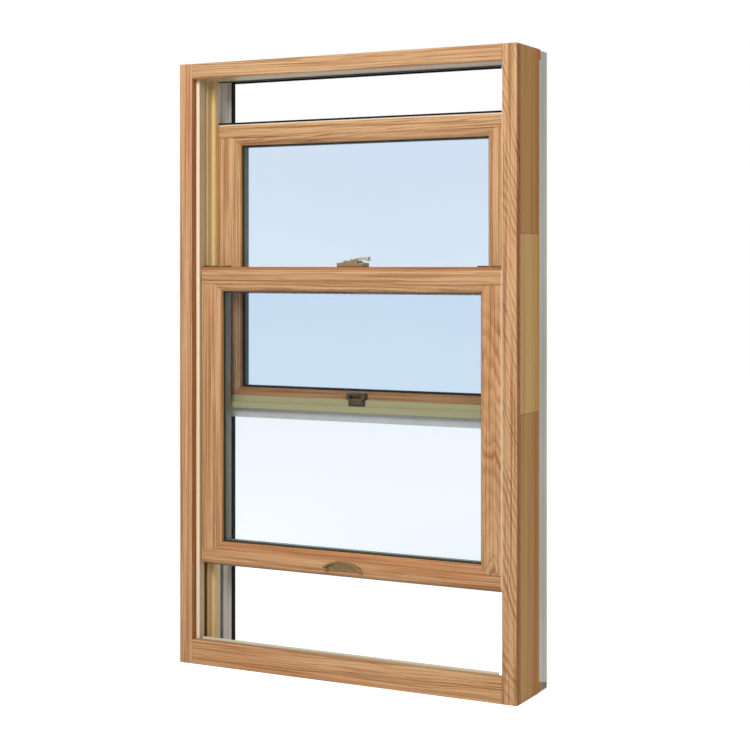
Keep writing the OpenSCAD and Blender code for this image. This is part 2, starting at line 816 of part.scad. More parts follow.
module lower_bottom_rail() { color(oak) lower_place() rail(lower_bottom_flat, 0, sill_fall, lower_stile_flat); }
module lower_left_stile() { color(oak) lower_place() stile(lower_flats); }
module lower_right_stile() { color(oak) lower_place() sash_right() stile(lower_flats); }
module lower_inner_pane() { lower_place() inner_pane_solid(lower_flats); }
module lower_outer_pane() { lower_place() outer_pane_solid(lower_flats); }
module lower_spacer() { lower_place() spacer_solid(lower_flats); }
module lower_gasket() { lower_place() gasket_solid(lower_flats); }

module lower_cladding() {
    color(grey) lower_place() {
        clad_rail(lower_bottom_flat, 0, sill_fall);
        to_top() clad_rail(lower_top_flat, 0, 0);
        clad_stiles(lower_flats);
    }
}

// Strip under the sloped foot of the lower sash
module lower_bottom_seal() {
    back_inset = 1;
    t0 = sash_t - bottom_seal_w;
    t1 = sash_t - back_inset;
    color(cream) lower_place() rotate([90, 0, 90]) linear_extrude(sash_w) polygon([
        [t0, -t0 * sill_fall], [t0, -t0 * sill_fall - bottom_seal_t],
        [t1, -t1 * sill_fall - bottom_seal_t], [t1, -t1 * sill_fall]]);
}

module lower_left_shoe() { color(steel) lower_place() lower_shoe_solid(); }
module lower_right_shoe() { color(steel) lower_place() sash_right() lower_shoe_solid(); }
module lower_latch_housings() { color(bronze) lower_place() latch_housing_pair(lower_slot); }
module lower_left_bolt() { color(bronze) lower_place() latch_bolt(lower_slot); }
module lower_right_bolt() { color(bronze) lower_place() sash_right() latch_bolt(lower_slot); }

// Puts a piece of the lock on its pivot, on top of the lower sash
module lock_place() {
    lower_place() translate([sash_w / 2 + lock_x, sash_t - pivot_back, sash_h]) children();
}

// Stepped lock body with a pocket that lets the cam swing out at the back
module lock_base() {
    mid = pivot_back - lock_d / 2;
    color(bronze) lock_place() difference() {
        union() {
            translate([0, mid, 0]) linear_extrude(lock_base_h) round_plate(lock_l, lock_d, lock_corner);
            translate([0, mid, 0]) linear_extrude(housing_h) round_plate(housing_l, lock_d, housing_corner);
        }
        translate([0, 0, cam_h - cam_t / 2 - run_gap]) linear_extrude(cam_t + 2 * run_gap) cam_room();
        translate([0, 0, cam_h]) cylinder(d = spindle_d + 2 * spindle_gap, h = housing_h);
    }
}

// Room that the cam sweeps through, with its mouth at the back of the lock
module cam_room() {
    room_r = cam_r + run_gap;
    tip_room = cam_tip_r + run_gap;
    front = (cam_r - cam_tip_r) * sin(cam_rest) - tip_room;
    intersection() {
        circle(room_r);
        span([-room_r, front], [tip_room, room_r]);
    }
}

// Cam, spindle and arched lever that grows thicker towards its tip
module lock_lever() {
    cam_foot = cam_h - cam_t / 2;
    cam_end = cam_r - cam_tip_r;
    hub_d = 12.5;
    tip_l = 3;
    tip_drop = 0.8;
    hollow = 1.2;
    color(bronze) lock_place() {
        translate([0, 0, cam_foot]) cylinder(d = spindle_d, h = lever_foot + lever_t - cam_foot);
        translate([0, 0, cam_foot]) linear_extrude(cam_t) rotate(cam_rest) {
            span([0, -cam_tip_r], [cam_end, cam_tip_r]);
            translate([cam_end, 0]) circle(cam_tip_r);
            circle(cam_tip_r);
        }
        translate([0, 0, lever_foot]) cylinder(d = hub_d, h = lever_t);
        translate([0, lever_w / 2, 0]) rotate([90, 0, 0]) linear_extrude(lever_w) polygon(concat(
            [for (s = [0 : 0.125 : 1]) [s * lever_l, lever_foot + lever_t + lever_rise * sin(90 * s)]],
            [[lever_l, lever_foot - tip_drop], [lever_l - tip_l, lever_foot - tip_drop]],
            [for (s = [1 : -0.125 : 0]) [s * (lever_l - tip_l), lever_foot + hollow * sin(180 * s)]]));
    }
}

// Half-moon finger lift: a flared hood that is open towards the room and below
module lift_handle() {
    plate_t = 1.8;
    color(bronze) lower_place() translate([sash_w / 2, 0, lift_v]) difference() {
        intersection() {
            lift_hood(0);
            block([-lift_w, -lift_d, 0], [lift_w, 0, lift_h + over]);
        }
        intersection() {
            lift_hood(lift_wall);
            block([-lift_w, -lift_d - 2 * over, -lift_h], [lift_w, -plate_t, lift_h]);
        }
    }
}

// Solid of the lift's hood, made smaller by the given wall
module lift_hood(wall) {
    deep = lift_d + over;
    flare = lift_flare * deep / lift_d;
    half = lift_w / 2 - lift_flare - wall;
    base_r = lift_r - lift_flare / 2 - wall;
    intersection() {
        translate([0, 0, lift_h - lift_r]) rotate([90, 0, 0]) cylinder(r1 = base_r, r2 = base_r + flare / 2, h = deep);
        translate([0, 0, -lift_h - over]) linear_extrude(2 * lift_h + 3 * over) polygon([
            [-half, 0], [-half - flare, -deep], [half + flare, -deep], [half, 0]]);
    }
}

// Upper sash

module upper_top_rail() {
    color(oak) upper_place() difference() {
        to_top() rail(upper_top_flat, 0, 0, upper_stile_flat);
        latch_pockets(upper_slot);
    }
}

// The check rail's wood stands on the aluminium bar
module upper_bottom_rail() { color(oak) upper_place() rail(check_flat, check_bar, 0, upper_stile_flat); }
module upper_left_stile() { color(oak) upper_place() stile(upper_flats); }
module upper_right_stile() { color(oak) upper_place() sash_right() stile(upper_flats); }
module upper_inner_pane() { upper_place() inner_pane_solid(upper_flats); }
module upper_outer_pane() { upper_place() outer_pane_solid(upper_flats); }
module upper_spacer() { upper_place() spacer_solid(upper_flats); }
module upper_gasket() { upper_place() gasket_solid(upper_flats); }

module upper_cladding() {
    color(grey) upper_place() {
        clad_rail(check_flat, 0, 0);
        block([0, 0, 0], [sash_w, clad_t0 + clad_wall, check_bar]);
        to_top() clad_rail(upper_top_flat, 0, 0);
        clad_stiles(upper_flats);
    }
}

module upper_top_seal() {
    seal_t0 = 3;
    color(black) upper_place() block([0, seal_t0, sash_h], [sash_w, seal_t0 + top_seal_w, sash_h + top_seal_t]);
}

// Two-step strip on the check rail that meets the lower sash when both are shut
module upper_interlock() {
    step_v = (check_bar + check_flat) / 2;
    inset = part_x - sash_x + part_gap;
    color(vinyl) upper_place() translate([inset, 0, 0]) rotate([90, 0, 90]) linear_extrude(sash_w - 2 * inset)
        polygon([
            [0, check_bar], [0, check_flat], [-lock_step_d, check_flat], [-lock_step_d, step_v],
            [-lock_lip_d, step_v], [-lock_lip_d, check_bar + edge_cut], [-lock_lip_d + edge_cut, check_bar]]);
}

// Keeper that sits on the interlock, with a framed mouth for the cam over a narrower sloped apron
module keeper() {
    top_v = keeper_v + keeper_h;
    lip = 2;
    taper = 1.2;
    set_back = 0.6;
    foot_out = 2;
    side_cut = 6;
    frame_v = mouth_v - mouth_h / 2 - lip;
    apron_d = keeper_d - set_back;
    foot_d = lock_step_d + foot_out;
    apron_w = keeper_w - 2 * side_cut;
    color(bronze) upper_place() translate([sash_w / 2, 0, 0]) difference() {
        union() {
            translate([-keeper_w / 2, 0, 0]) rotate([90, 0, 90]) linear_extrude(keeper_w) polygon([
                [0, check_flat], [-lock_step_d, check_flat], [-lock_step_d, frame_v], [-keeper_d + taper, frame_v],
                [-keeper_d, frame_v + taper], [-keeper_d, top_v - taper], [-keeper_d + taper, top_v], [0, top_v]]);
            intersection() {
                translate([-keeper_w / 2, 0, 0]) rotate([90, 0, 90]) linear_extrude(keeper_w) polygon([
                    [-lock_step_d, keeper_v], [-foot_d, keeper_v], [-apron_d, frame_v], [-apron_d, frame_v + over],
                    [-lock_step_d, frame_v + over]]);
                translate([0, 0, keeper_v - over]) linear_extrude(keeper_h) polygon([
                    [-keeper_w / 2 + over, 0], [-keeper_w / 2 + over, -lock_step_d], [-apron_w / 2, -keeper_d],
                    [apron_w / 2, -keeper_d], [keeper_w / 2 - over, -lock_step_d], [keeper_w / 2 - over, 0]]);
            }
        }
        block([-mouth_w / 2, -keeper_d - over, mouth_v - mouth_h / 2], [mouth_w / 2, over, mouth_v + mouth_h / 2]);
    }
}

module upper_left_shoe() { color(steel) upper_place() upper_shoe_solid(); }
module upper_right_shoe() { color(steel) upper_place() sash_right() upper_shoe_solid(); }
module upper_latch_housings() { color(bronze) upper_place() latch_housing_pair(upper_slot); }
module upper_left_bolt() { color(bronze) upper_place() latch_bolt(upper_slot); }
module upper_right_bolt() { color(bronze) upper_place() sash_right() latch_bolt(upper_slot); }

left_jamb();
right_jamb();
head_jamb();
sill();
left_face_trim();
right_face_trim();
head_face_trim();
sill_face_trim();
left_liner();
right_liner();
left_track_cover();
right_track_cover();
left_parting_stop();
right_parting_stop();
head_liner();
sill_stop();
left_cladding();
right_cladding();
head_cladding();
sill_cladding();
frame_weatherstrip();
lower_balance_tubes();
upper_balance_tubes();
lower_top_rail();
lower_bottom_rail();
lower_left_stile();
lower_right_stile();
lower_inner_pane();
lower_outer_pane();
lower_spacer();
lower_gasket();
lower_cladding();
lower_bottom_seal();
lower_left_shoe();
lower_right_shoe();
lower_latch_housings();
lock_base();
lift_handle();
lock_lever();
lower_left_bolt();
lower_right_bolt();
upper_top_rail();
upper_bottom_rail();
upper_left_stile();
upper_right_stile();
upper_inner_pane();
upper_outer_pane();
upper_spacer();
upper_gasket();
upper_cladding();
upper_top_seal();
upper_interlock();
keeper();
upper_left_shoe();
upper_right_shoe();
upper_latch_housings();
upper_left_bolt();
upper_right_bolt();
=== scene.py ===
"""Looks of a double-hung sash window: oak inside, aluminium outside, on a white studio floor."""

import json
import logging
import math
from dataclasses import dataclass, replace
from enum import Enum
from typing import Callable, Dict, List, Optional, Sequence, Tuple, Union

import bpy
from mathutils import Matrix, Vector

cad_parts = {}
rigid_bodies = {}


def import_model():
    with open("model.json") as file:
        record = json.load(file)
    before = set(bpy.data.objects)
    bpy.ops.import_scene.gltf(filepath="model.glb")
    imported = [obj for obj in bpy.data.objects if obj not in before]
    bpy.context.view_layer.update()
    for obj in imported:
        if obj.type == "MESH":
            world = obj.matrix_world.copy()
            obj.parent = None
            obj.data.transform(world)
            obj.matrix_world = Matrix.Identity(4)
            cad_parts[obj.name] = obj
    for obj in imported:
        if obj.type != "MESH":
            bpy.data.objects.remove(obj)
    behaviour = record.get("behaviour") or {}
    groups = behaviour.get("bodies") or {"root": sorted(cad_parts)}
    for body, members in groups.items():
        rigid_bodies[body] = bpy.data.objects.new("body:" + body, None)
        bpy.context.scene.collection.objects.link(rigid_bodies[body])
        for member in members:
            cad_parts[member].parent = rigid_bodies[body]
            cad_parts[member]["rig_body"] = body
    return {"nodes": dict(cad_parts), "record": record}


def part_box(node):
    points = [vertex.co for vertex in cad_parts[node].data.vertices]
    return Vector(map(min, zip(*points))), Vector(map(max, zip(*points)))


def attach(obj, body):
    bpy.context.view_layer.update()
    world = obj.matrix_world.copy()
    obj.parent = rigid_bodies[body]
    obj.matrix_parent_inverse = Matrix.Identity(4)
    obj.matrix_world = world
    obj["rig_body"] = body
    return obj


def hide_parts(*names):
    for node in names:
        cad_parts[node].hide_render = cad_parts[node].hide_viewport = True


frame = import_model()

LOG = logging.getLogger("sash_window")
MM = 0.001

Colour = Tuple[float, float, float, float]
Range = Tuple[float, float]
Triple = Tuple[float, float, float]
Socket = bpy.types.NodeSocket
Material = bpy.types.Material
Piece = bpy.types.Object
Value = Union[float, Tuple[float, ...], Socket]
FaceTest = Callable[[bpy.types.MeshPolygon], bool]

WHITE: Colour = (1.0, 1.0, 1.0, 1.0)
STILL: Triple = (0.0, 0.0, 0.0)


def srgb(red: int, green: int, blue: int) -> Colour:
    """Turns a colour as seen on a screen into the linear colour that shaders take.

    Args:
        red: Red from 0 to 255.
        green: Green from 0 to 255.
        blue: Blue from 0 to 255.

    Returns:
        The linear colour with an alpha of 1.
    """

    def linear(value: int) -> float:
        """Undoes the screen's curve for one channel."""
        share = value / 255
        return share / 12.92 if share <= 0.04045 else ((share + 0.055) / 1.055) ** 2.4

    return (linear(red), linear(green), linear(blue), 1.0)


class Grain(Enum):
    """Way the length of a piece runs, as the turn that brings it upright."""

    UPRIGHT = (0.0, 0.0, 0.0)
    LEVEL = (0.0, math.pi / 2, 0.0)


@dataclass(frozen=True)
class Pattern:
    """A soft random pattern in a surface.

    Attributes:
        scale: Waves in a metre along X, Y and Z.
        octaves: How many finer layers lie over it.
        draw: Picks one pattern of many.
        shown: Values at which its marks start to show and are full, and their share if not all.
    """

    scale: Triple
    octaves: float
    draw: float = 0.0
    shown: Tuple[float, ...] = (0.0, 1.0)


class Graph:
    """Wires the nodes of one material or world."""

    def __init__(self, name: str, kind: str = "materials") -> None:
        """Starts an empty node tree.

        Args:
            name: Name of its owner.
            kind: The list that its owner goes into, of materials or of worlds.
        """
        self.owner = getattr(bpy.data, kind).new(name)
        self.owner.use_nodes = True
        self.nodes = self.owner.node_tree.nodes
        self.links = self.owner.node_tree.links
        self.nodes.clear()

    def node(self, kind: str, inputs: Dict[Union[int, str], Value], **settings: object) -> bpy.types.Node:
        """Adds a shader node.

        Args:
            kind: The node's type without its common prefix.
            inputs: What each named or numbered input takes.
            settings: The node's own settings.

        Returns:
            The new node.
        """
        made = self.nodes.new("ShaderNode" + kind)
        for name, setting in settings.items():
            setattr(made, name, setting)
        for key, value in inputs.items():
            if isinstance(value, Socket):
                self.links.new(value, made.inputs[key])
            else:
                made.inputs[key].default_value = value
        return made

    def math(self, operation: str, *values: Value) -> Socket:
        """Adds a Math node on those values and returns its output."""
        return self.node("Math", dict(enumerate(values)), operation=operation).outputs[0]

    def times(self, first: Value, second: Value) -> Socket:
        """Multiplies two values."""
        return self.math("MULTIPLY", first, second)

    def scaled(self, value: Value, spread: Value, least: Value) -> Socket:
        """Multiplies a value by its spread and adds its least."""
        return self.math("MULTIPLY_ADD", value, spread, least)

    def place(self, shift: Sequence[float] = STILL, turn: Sequence[float] = STILL) -> Socket:
        """Maps the object's own coordinates.

        Args:
            shift: Added after the turn.
            turn: Angles about X, Y and Z.

        Returns:
            The mapped vector.
        """
        coordinates = self.node("TexCoord", {}).outputs["Object"]
        return self.node("Mapping", {"Vector": coordinates, "Location": shift, "Rotation": turn}).outputs[0]

    def board(self, grain: Grain, middle: Sequence[float]) -> Socket:
        """Maps a board so that its fibres run along Z through its middle.

        Args:
            grain: Way the fibres run.
            middle: The board's middle.

        Returns:
            The mapped vector.
        """
        x, y, z = middle
        turned = (z, y, -x) if grain is Grain.LEVEL else (x, y, z)
        return self.place([-c for c in turned], grain.value)

    def split(self, vector: Value) -> Sequence[Socket]:
        """Splits a vector into X, Y and Z."""
        return self.node("SeparateXYZ", {0: vector}).outputs

    def noise(self, vector: Value, pattern: Pattern, seed: Value = 0.0) -> Socket:
        """Adds the noise of a pattern.

        Args:
            vector: Where the noise is read, in metres.
            pattern: The pattern.
            seed: Added to the pattern's own draw.

        Returns:
            The noise's value from 0 to 1.
        """
        scaled = self.node("VectorMath", {0: vector, 1: pattern.scale}, operation="MULTIPLY").outputs[0]
        linked = isinstance(seed, Socket)
        draw = self.math("ADD", seed, pattern.draw) if linked else seed + pattern.draw
        inputs = {"Vector": scaled, "W": draw, "Scale": 1.0, "Detail": pattern.octaves}
        return self.node("TexNoise", inputs, noise_dimensions="4D").outputs[0]

    def marks(self, vector: Value, pattern: Pattern, seed: Value = 0.0) -> Socket:
        """Adds the marks of a pattern, from 0 for none to their share where they are full."""
        return self.ramp(self.noise(vector, pattern, seed), *pattern.shown)

    def ramp(self, value: Value, low: float, high: float, top: float = 1.0) -> Socket:
        """Turns a value between low and high into 0 to top with soft ends."""
        inputs = {"Value": value, "From Min": low, "From Max": high, "To Max": top}
        return self.node("MapRange", inputs, interpolation_type="SMOOTHSTEP").outputs[0]

    def mix(self, share: Value, first: Value, second: Value, blend: str = "MIX") -> Socket:
        """Mixes two colours.

        Args:
            share: How much of the second shows.
            first: The colour below.
            second: The colour above.
            blend: The blend mode.

        Returns:
            The mixed colour.
        """
        inputs = {0: share, 6: first, 7: second}
        return self.node("Mix", inputs, data_type="RGBA", blend_type=blend).outputs[2]

    def seen(self) -> Socket:
        """Tells what is looked at from what only lights.

        Returns:
            1 for the camera's rays, also in reflections and through glass, and 0 for others.
        """
        path = self.node("LightPath", {}).outputs
        seen = self.math("MAXIMUM", path["Is Camera Ray"], path["Is Glossy Ray"])
        return self.math("MAXIMUM", seen, path["Is Transmission Ray"])

    def bump(self, height: Value, depth: float, strength: float) -> Socket:
        """Makes a bumped normal from a height from 0 to 1 and its depth in metres."""
        inputs = {"Height": height, "Distance": depth, "Strength": strength}
        return self.node("Bump", inputs).outputs[0]

    def surface(self, inputs: Dict[str, Value]) -> Material:
        """Ends the material in one Principled shader with those inputs."""
        return self.end(self.node("BsdfPrincipled", inputs).outputs[0])

    def end(self, shader: Socket) -> Material:
        """Ends the material in a shader and returns it."""
        self.node("OutputMaterial", {"Surface": shader})
        return self.owner


@dataclass(frozen=True)
class Cut:
    """How a board was cut from its tree.

    Attributes:
        side: Distance of the tree's heart to the side of the board's middle.
        behind: Distance of the heart behind the board's middle.
        lean: How fast the heart drifts away along the board.
        ring: Width of a year's growth.
        seed: Picks this board's own figure.
        warmth: How much of the redder tone shows.
        wave: How far the growth wanders from a true round.
        slant: How fast the growth crosses the board along its length.
        painted_shade: How much of the side tone shows all over the board, as painted shade.
    """

    side: float
    behind: float
    lean: float
    ring: float
    seed: float
    warmth: float
    wave: float = 9 * MM
    slant: float = 0.0
    painted_shade: float = 0.0


# In every finish a pair named depth or rough holds a spread and a least, relief holds a depth in
# metres and its strength, and a triple for marks ends in the share that they show.


@dataclass(frozen=True)
class OakFinish:
    """Clear satin varnish on open-pored oak.

    Attributes:
        light: Wood of late summer.
        early: Wood of spring.
        red: Redder heartwood.
        pore: Inside the pores.
        side: What faces that look sideways keep of their colour, as painted shade and partly the darker wood
            of a board's sides.
        spring: Where in a ring spring wood has faded out and where it starts to.
        autumn: Where in a ring the next spring wood fades in.
        fade: Stretches in which the rings show more.
        fibre: Fine pores.
        dash: Coarse pores.
        turned: How far sideways a face looks where the painted side shade starts and is full.
    """

    light: Colour = srgb(220, 177, 132)
    early: Colour = srgb(144, 92, 50)
    red: Colour = srgb(184, 124, 80)
    pore: Colour = srgb(112, 70, 38)
    side: Colour = srgb(222, 194, 158)
    sway: Pattern = Pattern((8, 8, 1.6), 2)
    waver: Pattern = Pattern((80, 80, 11), 3, 3)
    waver_rings: float = 1.8
    spring: Range = (0.6, 0.1)
    autumn: Range = (0.8, 1.0)
    ring_depth: Range = (0.8, 0.1)
    fade: Pattern = Pattern((45, 45, 9), 2, 9, (0.3, 0.65))
    fade_depth: Range = (0.7, 0.3)
    fibre: Pattern = Pattern((900, 900, 26), 1, 5, (0.56, 0.68))
    dash: Pattern = Pattern((430, 430, 15), 2, 6, (0.58, 0.72))
    pore_depth: Range = (0.9, 0.14)
    pore_share: float = 0.75
    patch: Pattern = Pattern((44, 44, 2.4), 2, 11, (0.38, 0.66))
    streak: Pattern = Pattern((300, 300, 3.4), 3, 7, (0.45, 0.66, 0.7))
    turned: Range = (0.75, 0.95)
    relief: Range = (0.12 * MM, 0.6)
    streak_rough: Range = (0.12, 0.4)
    pore_rough: float = 0.25
    shine: float = 0.06

    def rings(self, graph: Graph, board: Socket, cut: Cut) -> Socket:
        """Draws the year rings of a board.

        Args:
            graph: The board's material.
            board: The board's own coordinates.
            cut: How the board was cut.

        Returns:
            How much of the spring wood shows, from 0 to 1.
        """
        x, y, z = graph.split(board)
        across = graph.math("ADD", x, -cut.side)
        through = graph.scaled(z, cut.lean, graph.math("ADD", y, -cut.behind))
        square = graph.math("ADD", graph.times(across, across), graph.times(through, through))
        bent = graph.scaled(graph.noise(board, self.sway, cut.seed), cut.wave, graph.math("SQRT", square))
        bent = graph.scaled(graph.noise(board, self.waver, cut.seed), self.waver_rings * cut.ring, bent)
        years = graph.math("DIVIDE", graph.scaled(z, cut.slant, bent), cut.ring)
        part = graph.math("FRACT", years)
        year = graph.math("FLOOR", years)
        tone = graph.node("TexWhiteNoise", {"W": year}, noise_dimensions="1D").outputs[0]
        depth = graph.scaled(tone, *self.ring_depth)
        shown = graph.scaled(graph.marks(board, self.fade, cut.seed), *self.fade_depth)
        ring = graph.math("MAXIMUM", graph.ramp(part, *self.spring), graph.ramp(part, *self.autumn))
        return graph.times(ring, graph.times(depth, shown))

    def make(self, name: str, grain: Grain, cut: Cut, middle: Vector) -> Material:
        """Makes the oak of one board.

        Args:
            name: The material's name.
            grain: Way the fibres run.
            cut: How the board was cut.
            middle: The middle of the board.

        Returns:
            The material.
        """
        graph = Graph(name)
        board = graph.board(grain, middle)
        rings = self.rings(graph, board, cut)
        fibre = graph.marks(board, self.fibre, cut.seed)
        dash = graph.marks(board, self.dash, cut.seed)
        pores = graph.times(graph.math("MAXIMUM", fibre, dash), graph.scaled(rings, *self.pore_depth))
        patch = graph.marks(board, self.patch, cut.seed)
        streak = graph.noise(board, self.streak, cut.seed)
        colour = graph.mix(rings, self.light, self.early)
        colour = graph.mix(graph.times(patch, cut.warmth), colour, self.red)
        colour = graph.mix(graph.ramp(streak, *self.streak.shown), colour, self.early)
        colour = graph.mix(graph.times(pores, self.pore_share), colour, self.pore)
        # Faces that look sideways, and whole boards given painted shade, take the side tone: painted shade,
        # partly darker side wood.
        facing = graph.split(graph.node("NewGeometry", {}).outputs["Normal"])[0]
        sideways = graph.ramp(graph.math("ABSOLUTE", facing), *self.turned)
        side_shade_share = graph.math("MAXIMUM", sideways, cut.painted_shade)
        colour = graph.mix(side_shade_share, colour, graph.mix(1.0, colour, self.side, "MULTIPLY"))
        rough = graph.scaled(pores, self.pore_rough, graph.scaled(streak, *self.streak_rough))
        normal = graph.bump(graph.math("SUBTRACT", 1.0, pores), *self.relief)
        return graph.surface({"Base Color": colour, "Roughness": rough, "Normal": normal,
                              "Specular IOR Level": self.shine})


class Oak(Enum):
    """Oak, as each part of a board wears it, with a paler kind as a painted highlight and a darker kind as
    painted shade.
    """

    OAK = OakFinish()
    # Near-white oak on the sashes' outer chamfers: a painted highlight.
    PALE = OakFinish(srgb(246, 228, 202), srgb(230, 204, 170), srgb(238, 212, 180), srgb(206, 172, 134))
    # Darker oak for faces that look up: painted shade.
    SHADED_TOP = OakFinish(srgb(186, 130, 86), srgb(134, 84, 46), srgb(166, 106, 66))


@dataclass(frozen=True)
class PineFinish:
    """Bare planed pine, glued up end to end from short lengths.

    Attributes:
        lengths: Tone of each length, from the foot up.
        joints: Heights of the glued joints.
        joint: Half the width of a joint.
        length_draw: Change of draw from one length to the next.
        dark: What the darker wood keeps of the colour.
        saw: Marks of the planer across the grain.
        heart: What the heartwood towards the back keeps of the colour.
        heights: Shares of the grain and of the planer's marks in the relief.
    """

    lengths: Tuple[Colour, ...] = (srgb(206, 156, 90), srgb(230, 186, 116), srgb(208, 152, 82))
    joints: Tuple[float, ...] = (477 * MM, 777 * MM)
    joint: float = 0.5 * MM
    line: Colour = srgb(120, 80, 40)
    line_share: float = 0.8
    length_draw: float = 4.3
    dark: Colour = srgb(140, 88, 40)
    dark_share: float = 0.75
    fibre: Pattern = Pattern((190, 190, 2.5), 3, 0, (0.45, 0.75, 0.4))
    band: Pattern = Pattern((55, 55, 1.2), 2, 2, (0.4, 0.7, 0.35))
    saw: Pattern = Pattern((40, 40, 420), 1, 9)
    heart: Colour = srgb(246, 222, 180)
    heart_wander: float = 40 * MM
    heart_edge: Range = (18 * MM, 50 * MM)
    heights: Range = (0.6, 0.4)
    relief: Range = (0.1 * MM, 0.5)
    rough: float = 0.7

    def make(self, name: str, grain: Grain, middle: Vector) -> Material:
        """Makes the pine of one piece of the carcass.

        Args:
            name: The material's name.
            grain: Way the fibres run.
            middle: The middle of the piece.

        Returns:
            The material.
        """
        graph = Graph(name)
        start = middle if grain is Grain.LEVEL else Vector((middle.x, middle.y, 0))
        board = graph.board(grain, start)
        depth, along = graph.split(board)[1:]
        colour: Value = self.lengths[0]
        count: Value = 0.0
        seam: Value = 0.0
        for joint, tone in zip(self.joints, self.lengths[1:]):
            above = graph.math("GREATER_THAN", along, joint)
            colour = graph.mix(above, colour, tone)
            count = graph.math("ADD", count, above)
            away = graph.math("ABSOLUTE", graph.math("SUBTRACT", along, joint))
            seam = graph.math("MAXIMUM", seam, graph.math("LESS_THAN", away, self.joint))
        seed = graph.times(count, self.length_draw)
        fibre = graph.noise(board, self.fibre, seed)
        band = graph.noise(board, self.band, seed)
        dark = graph.mix(self.dark_share, colour, self.dark, "MULTIPLY")
        colour = graph.mix(graph.ramp(fibre, *self.fibre.shown), colour, dark)
        colour = graph.mix(graph.ramp(band, *self.band.shown), colour, dark)
        inward = graph.scaled(band, self.heart_wander, depth)
        heart = graph.mix(1.0, colour, self.heart, "MULTIPLY")
        colour = graph.mix(graph.ramp(inward, *self.heart_edge), colour, heart)
        colour = graph.mix(graph.times(seam, self.line_share), colour, self.line)
        of_fibre, of_saw = self.heights
        height = graph.scaled(fibre, of_fibre, graph.times(graph.noise(board, self.saw), of_saw))
        return graph.surface({"Base Color": colour, "Roughness": self.rough,
                              "Normal": graph.bump(height, *self.relief)})


@dataclass(frozen=True)
class DieLines:
    """Faint lines that a die leaves along a plastic strip.

    Attributes:
        share: How much of the darker tone they show.
        pattern: The lines.
    """

    share: float
    pattern: Pattern = Pattern((700, 700, 3), 2, 1, (0.4, 0.75))
    relief: Range = (0.05 * MM, 0.5)
    rough: float = 0.12

    def draw(self, graph: Graph, strip: Socket) -> Tuple[Socket, Socket]:
        """Draws the lines on a strip and returns them and how much of the darker tone they show."""
        line = graph.noise(strip, self.pattern)
        return line, graph.ramp(line, *self.pattern.shown, self.share)

    def surface(self, graph: Graph, colour: Value, line: Socket, smooth: float) -> Material:
        """Ends a plastic that has these lines, with its roughness between them."""
        return graph.surface({"Base Color": colour, "Roughness": graph.scaled(line, self.rough, smooth),
                              "Normal": graph.bump(line, *self.relief)})


@dataclass(frozen=True)
class PlasticFinish:
    """Extruded plastic with faint lines along its length.

    Attributes:
        shade: Colour of the faint lines and clouds.
        smooth: Roughness between the lines.
        length: Way the lines run.
        lip_top: Height below which it is a soft black lip, if it has one.
    """

    colour: Colour
    shade: Colour
    smooth: float
    length: Grain = Grain.LEVEL
    lip_top: Optional[float] = None
    lip: Colour = srgb(24, 23, 21)
    lines: DieLines = DieLines(0.35)
    cloud: Pattern = Pattern((30, 30, 6), 2, 2, (0.4, 0.8, 0.25))

    def make(self, name: str) -> Material:
        """Makes the plastic.

        Args:
            name: The material's name.

        Returns:
            The material.
        """
        graph = Graph(name)
        strip = graph.place(turn=self.length.value)
        line, shown = self.lines.draw(graph, strip)
        colour = graph.mix(shown, self.colour, self.shade)
        colour = graph.mix(graph.marks(strip, self.cloud), colour, self.shade)
        if self.lip_top is not None:
            height = graph.split(graph.place())[2]
            colour = graph.mix(graph.math("LESS_THAN", height, self.lip_top), colour, self.lip)
        return self.lines.surface(graph, colour, line, self.smooth)


class Vinyl(Enum):
    """Plastic strips, each in its own tone, the sill's darker cream being painted shade."""

    HEAD = PlasticFinish(srgb(190, 178, 148), srgb(164, 150, 120), 0.36)
    PARTING = PlasticFinish(srgb(222, 190, 130), srgb(188, 152, 92), 0.28, Grain.UPRIGHT)
    # The sill's cream is darker than the liner's as painted shade.
    SILL = PlasticFinish(srgb(212, 210, 186), srgb(190, 184, 160), 0.4)
    FOOT = PlasticFinish(srgb(146, 124, 96), srgb(116, 96, 72), 0.44)
    INTERLOCK = PlasticFinish(srgb(190, 174, 122), srgb(158, 144, 94), 0.34)


@dataclass(frozen=True)
class LinerFinish:
    """Vinyl jamb liner: cream stop, beige inner track and grey outer track.

    Attributes:
        cream_end: Depth at which the cream ends.
        grey_start: Depth at which the grey starts.
        cream: The stop in front.
        beige: The lower sash's track, darker than the cream partly as painted shade.
        grey: The upper sash's track.
        shade: What the faint lines keep of the colour.
    """

    cream_end: float
    grey_start: float
    cream: Colour = srgb(250, 239, 214)
    # Partly painted shade of the track.
    beige: Colour = srgb(204, 176, 126)
    grey: Colour = srgb(232, 229, 226)
    shade: Colour = srgb(214, 204, 190)
    smooth: float = 0.36
    lines: DieLines = DieLines(0.5)

    def make(self, name: str) -> Material:
        """Makes the liner's vinyl.

        Args:
            name: The material's name.

        Returns:
            The material.
        """
        graph = Graph(name)
        spot = graph.place()
        depth = graph.split(spot)[1]
        line, shown = self.lines.draw(graph, spot)
        colour = graph.mix(graph.math("GREATER_THAN", depth, self.cream_end), self.cream, self.beige)
        colour = graph.mix(graph.math("GREATER_THAN", depth, self.grey_start), colour, self.grey)
        colour = graph.mix(shown, colour, graph.mix(1.0, colour, self.shade, "MULTIPLY"))
        return self.lines.surface(graph, colour, line, self.smooth)


